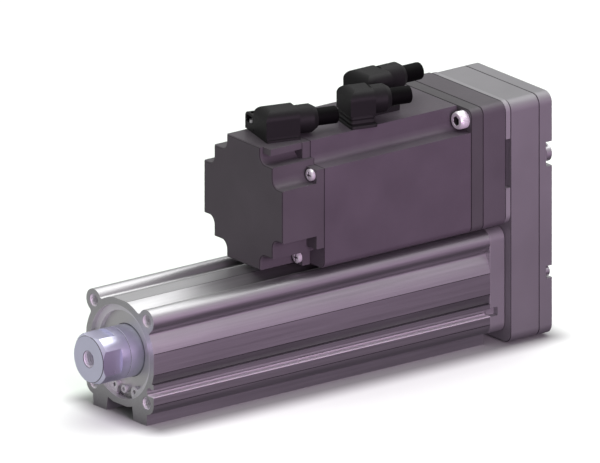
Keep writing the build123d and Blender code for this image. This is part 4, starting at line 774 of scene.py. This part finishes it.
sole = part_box("body_tube")[0].z
bpy.ops.mesh.primitive_plane_add(size=FLOOR_SIZE, location=(0, 0, sole))
floor = bpy.context.object
floor.name = "floor"
sweep = Finish("white_sweep")
camera_sees = sweep.node("ShaderNodeLightPath")[0]
spot = sweep.node("ShaderNodeTexCoord")[3]
across = sweep.node("ShaderNodeSeparateXYZ", None, {0: spot})[1]
# Painted reflection: the floor glows for every ray but the camera's, so the pieces mirror it. It is plum on the near
# side and grey in front, and dark close to and under the object as painted shade.
plum = sweep.blend(sweep.spread(across, *NEAR_SPAN), NEAR_DARK, NEAR_PLUM)
along = sweep.vectors("DOT_PRODUCT", spot, (*MIRROR_WAY, 0))[1]
parting = NEAR_CORNER[0] * MIRROR_WAY[0] + NEAR_CORNER[1] * MIRROR_WAY[1]
beside = sweep.spread(along, parting + PARTING_SPAN[0], parting + PARTING_SPAN[1])
off_middle = sweep.vectors("ABSOLUTE", sweep.vectors("SUBTRACT", spot, FOOTPRINT_MIDDLE)[0])[0]
past_edges = sweep.vectors("MAXIMUM", sweep.vectors("SUBTRACT", off_middle, FOOTPRINT_HALF)[0], (0, 0, 0))[0]
outside = sweep.vectors("LENGTH", past_edges)[1]
mirrored = sweep.blend(beside, FRONT_GREY, plum)
mirrored = sweep.blend(sweep.spread(outside, *UNDER_SPAN), UNDER_DARK, mirrored)
# Painted shadow: what the camera sees of the floor is grey at the object's footprint and fades to white over about 16
# mm past it.
lit = sweep.spread(outside, *PAINTED_SHADOW_SPAN, interpolation_type="SMOOTHSTEP")
paint = sweep.node("ShaderNodeBsdfDiffuse", None, {"Color": sweep.blend(lit, PAINTED_SHADOW_GREY, SWEEP_WHITE)})[0]
shine = sweep.node("ShaderNodeEmission", None, {"Color": mirrored, "Strength": 1.0})[0]
either = sweep.node("ShaderNodeMixShader", None, {0: camera_sees, 1: shine, 2: paint})[0]
sweep.join(either, sweep.tree.nodes["Material Output"].inputs[0])
floor.data.materials.append(sweep.material)

SKY_GREY = (0.56, 0.56, 0.56)
SKY_PLUM = (0.31, 0.25, 0.32)
SKY_TOP = (0.75, 0.75, 0.75)
SKY_GLOW = (3.0, 3.0, 3.0)
GLOW_WAY = Vector((-0.58, -0.12, 0.80)).normalized()

scene = bpy.context.scene
scene.world = bpy.data.worlds.new("soft_sky")
scene.world.use_nodes = True
sky = Wiring(scene.world.node_tree)
direction = sky.node("ShaderNodeTexCoord")[0]
sideways, up = sky.node("ShaderNodeSeparateXYZ", None, {0: direction})[1:]
around = sky.blend(sky.spread(sideways, -0.2, 0.7), SKY_GREY, SKY_PLUM)
above = sky.blend(sky.spread(up, 0.25, 0.9), around, SKY_TOP)
toward = sky.vectors("DOT_PRODUCT", direction, GLOW_WAY)[1]
glow = sky.spread(toward, 0.80, 0.98, interpolation_type="SMOOTHSTEP")
background = sky.tree.nodes["Background"]
sky.join(sky.blend(glow, above, SKY_GLOW), background.inputs["Color"])
background.inputs["Strength"].default_value = 1.0

LAMP_AIM = Vector((-0.11, 0, 0.03))


def disk_lamp(name, size, power, colour, place):
    """A round area lamp that looks at the middle of the object."""
    lamp_data = bpy.data.lights.new(name, "AREA")
    lamp_data.shape = "DISK"
    lamp_data.size = size
    lamp_data.energy = power
    lamp_data.color = colour
    lamp = bpy.data.objects.new(name, lamp_data)
    scene.collection.objects.link(lamp)
    lamp.location = place
    lamp.rotation_euler = (LAMP_AIM - lamp.location).to_track_quat("-Z", "Y").to_euler()


disk_lamp("overhead", 0.9, 3.0, (1, 1, 1), (0.1, -0.3, 1.3))
disk_lamp("near_side", 0.6, 13.0, (1.0, 0.72, 1.0), (0.15, 1.15, 0.30))

AZIMUTH = math.radians(52.3)
ELEVATION = math.radians(18.25)
PIXELS_PER_METRE = 2158.7
PHOTO_WIDTH = 600
CENTRE = Vector((-0.1054, 0.0, 0.0374))
eye = Vector(
    (math.cos(AZIMUTH) * math.cos(ELEVATION), math.sin(AZIMUTH) * math.cos(ELEVATION), math.sin(ELEVATION))
)
camera_data = bpy.data.cameras.new("camera")
camera_data.type = "ORTHO"
camera_data.ortho_scale = PHOTO_WIDTH / PIXELS_PER_METRE
camera = bpy.data.objects.new("camera", camera_data)
scene.collection.objects.link(camera)
camera.location = CENTRE + eye
camera.rotation_euler = eye.to_track_quat("Z", "Y").to_euler()
scene.camera = camera
scene.view_settings.view_transform = "Standard"
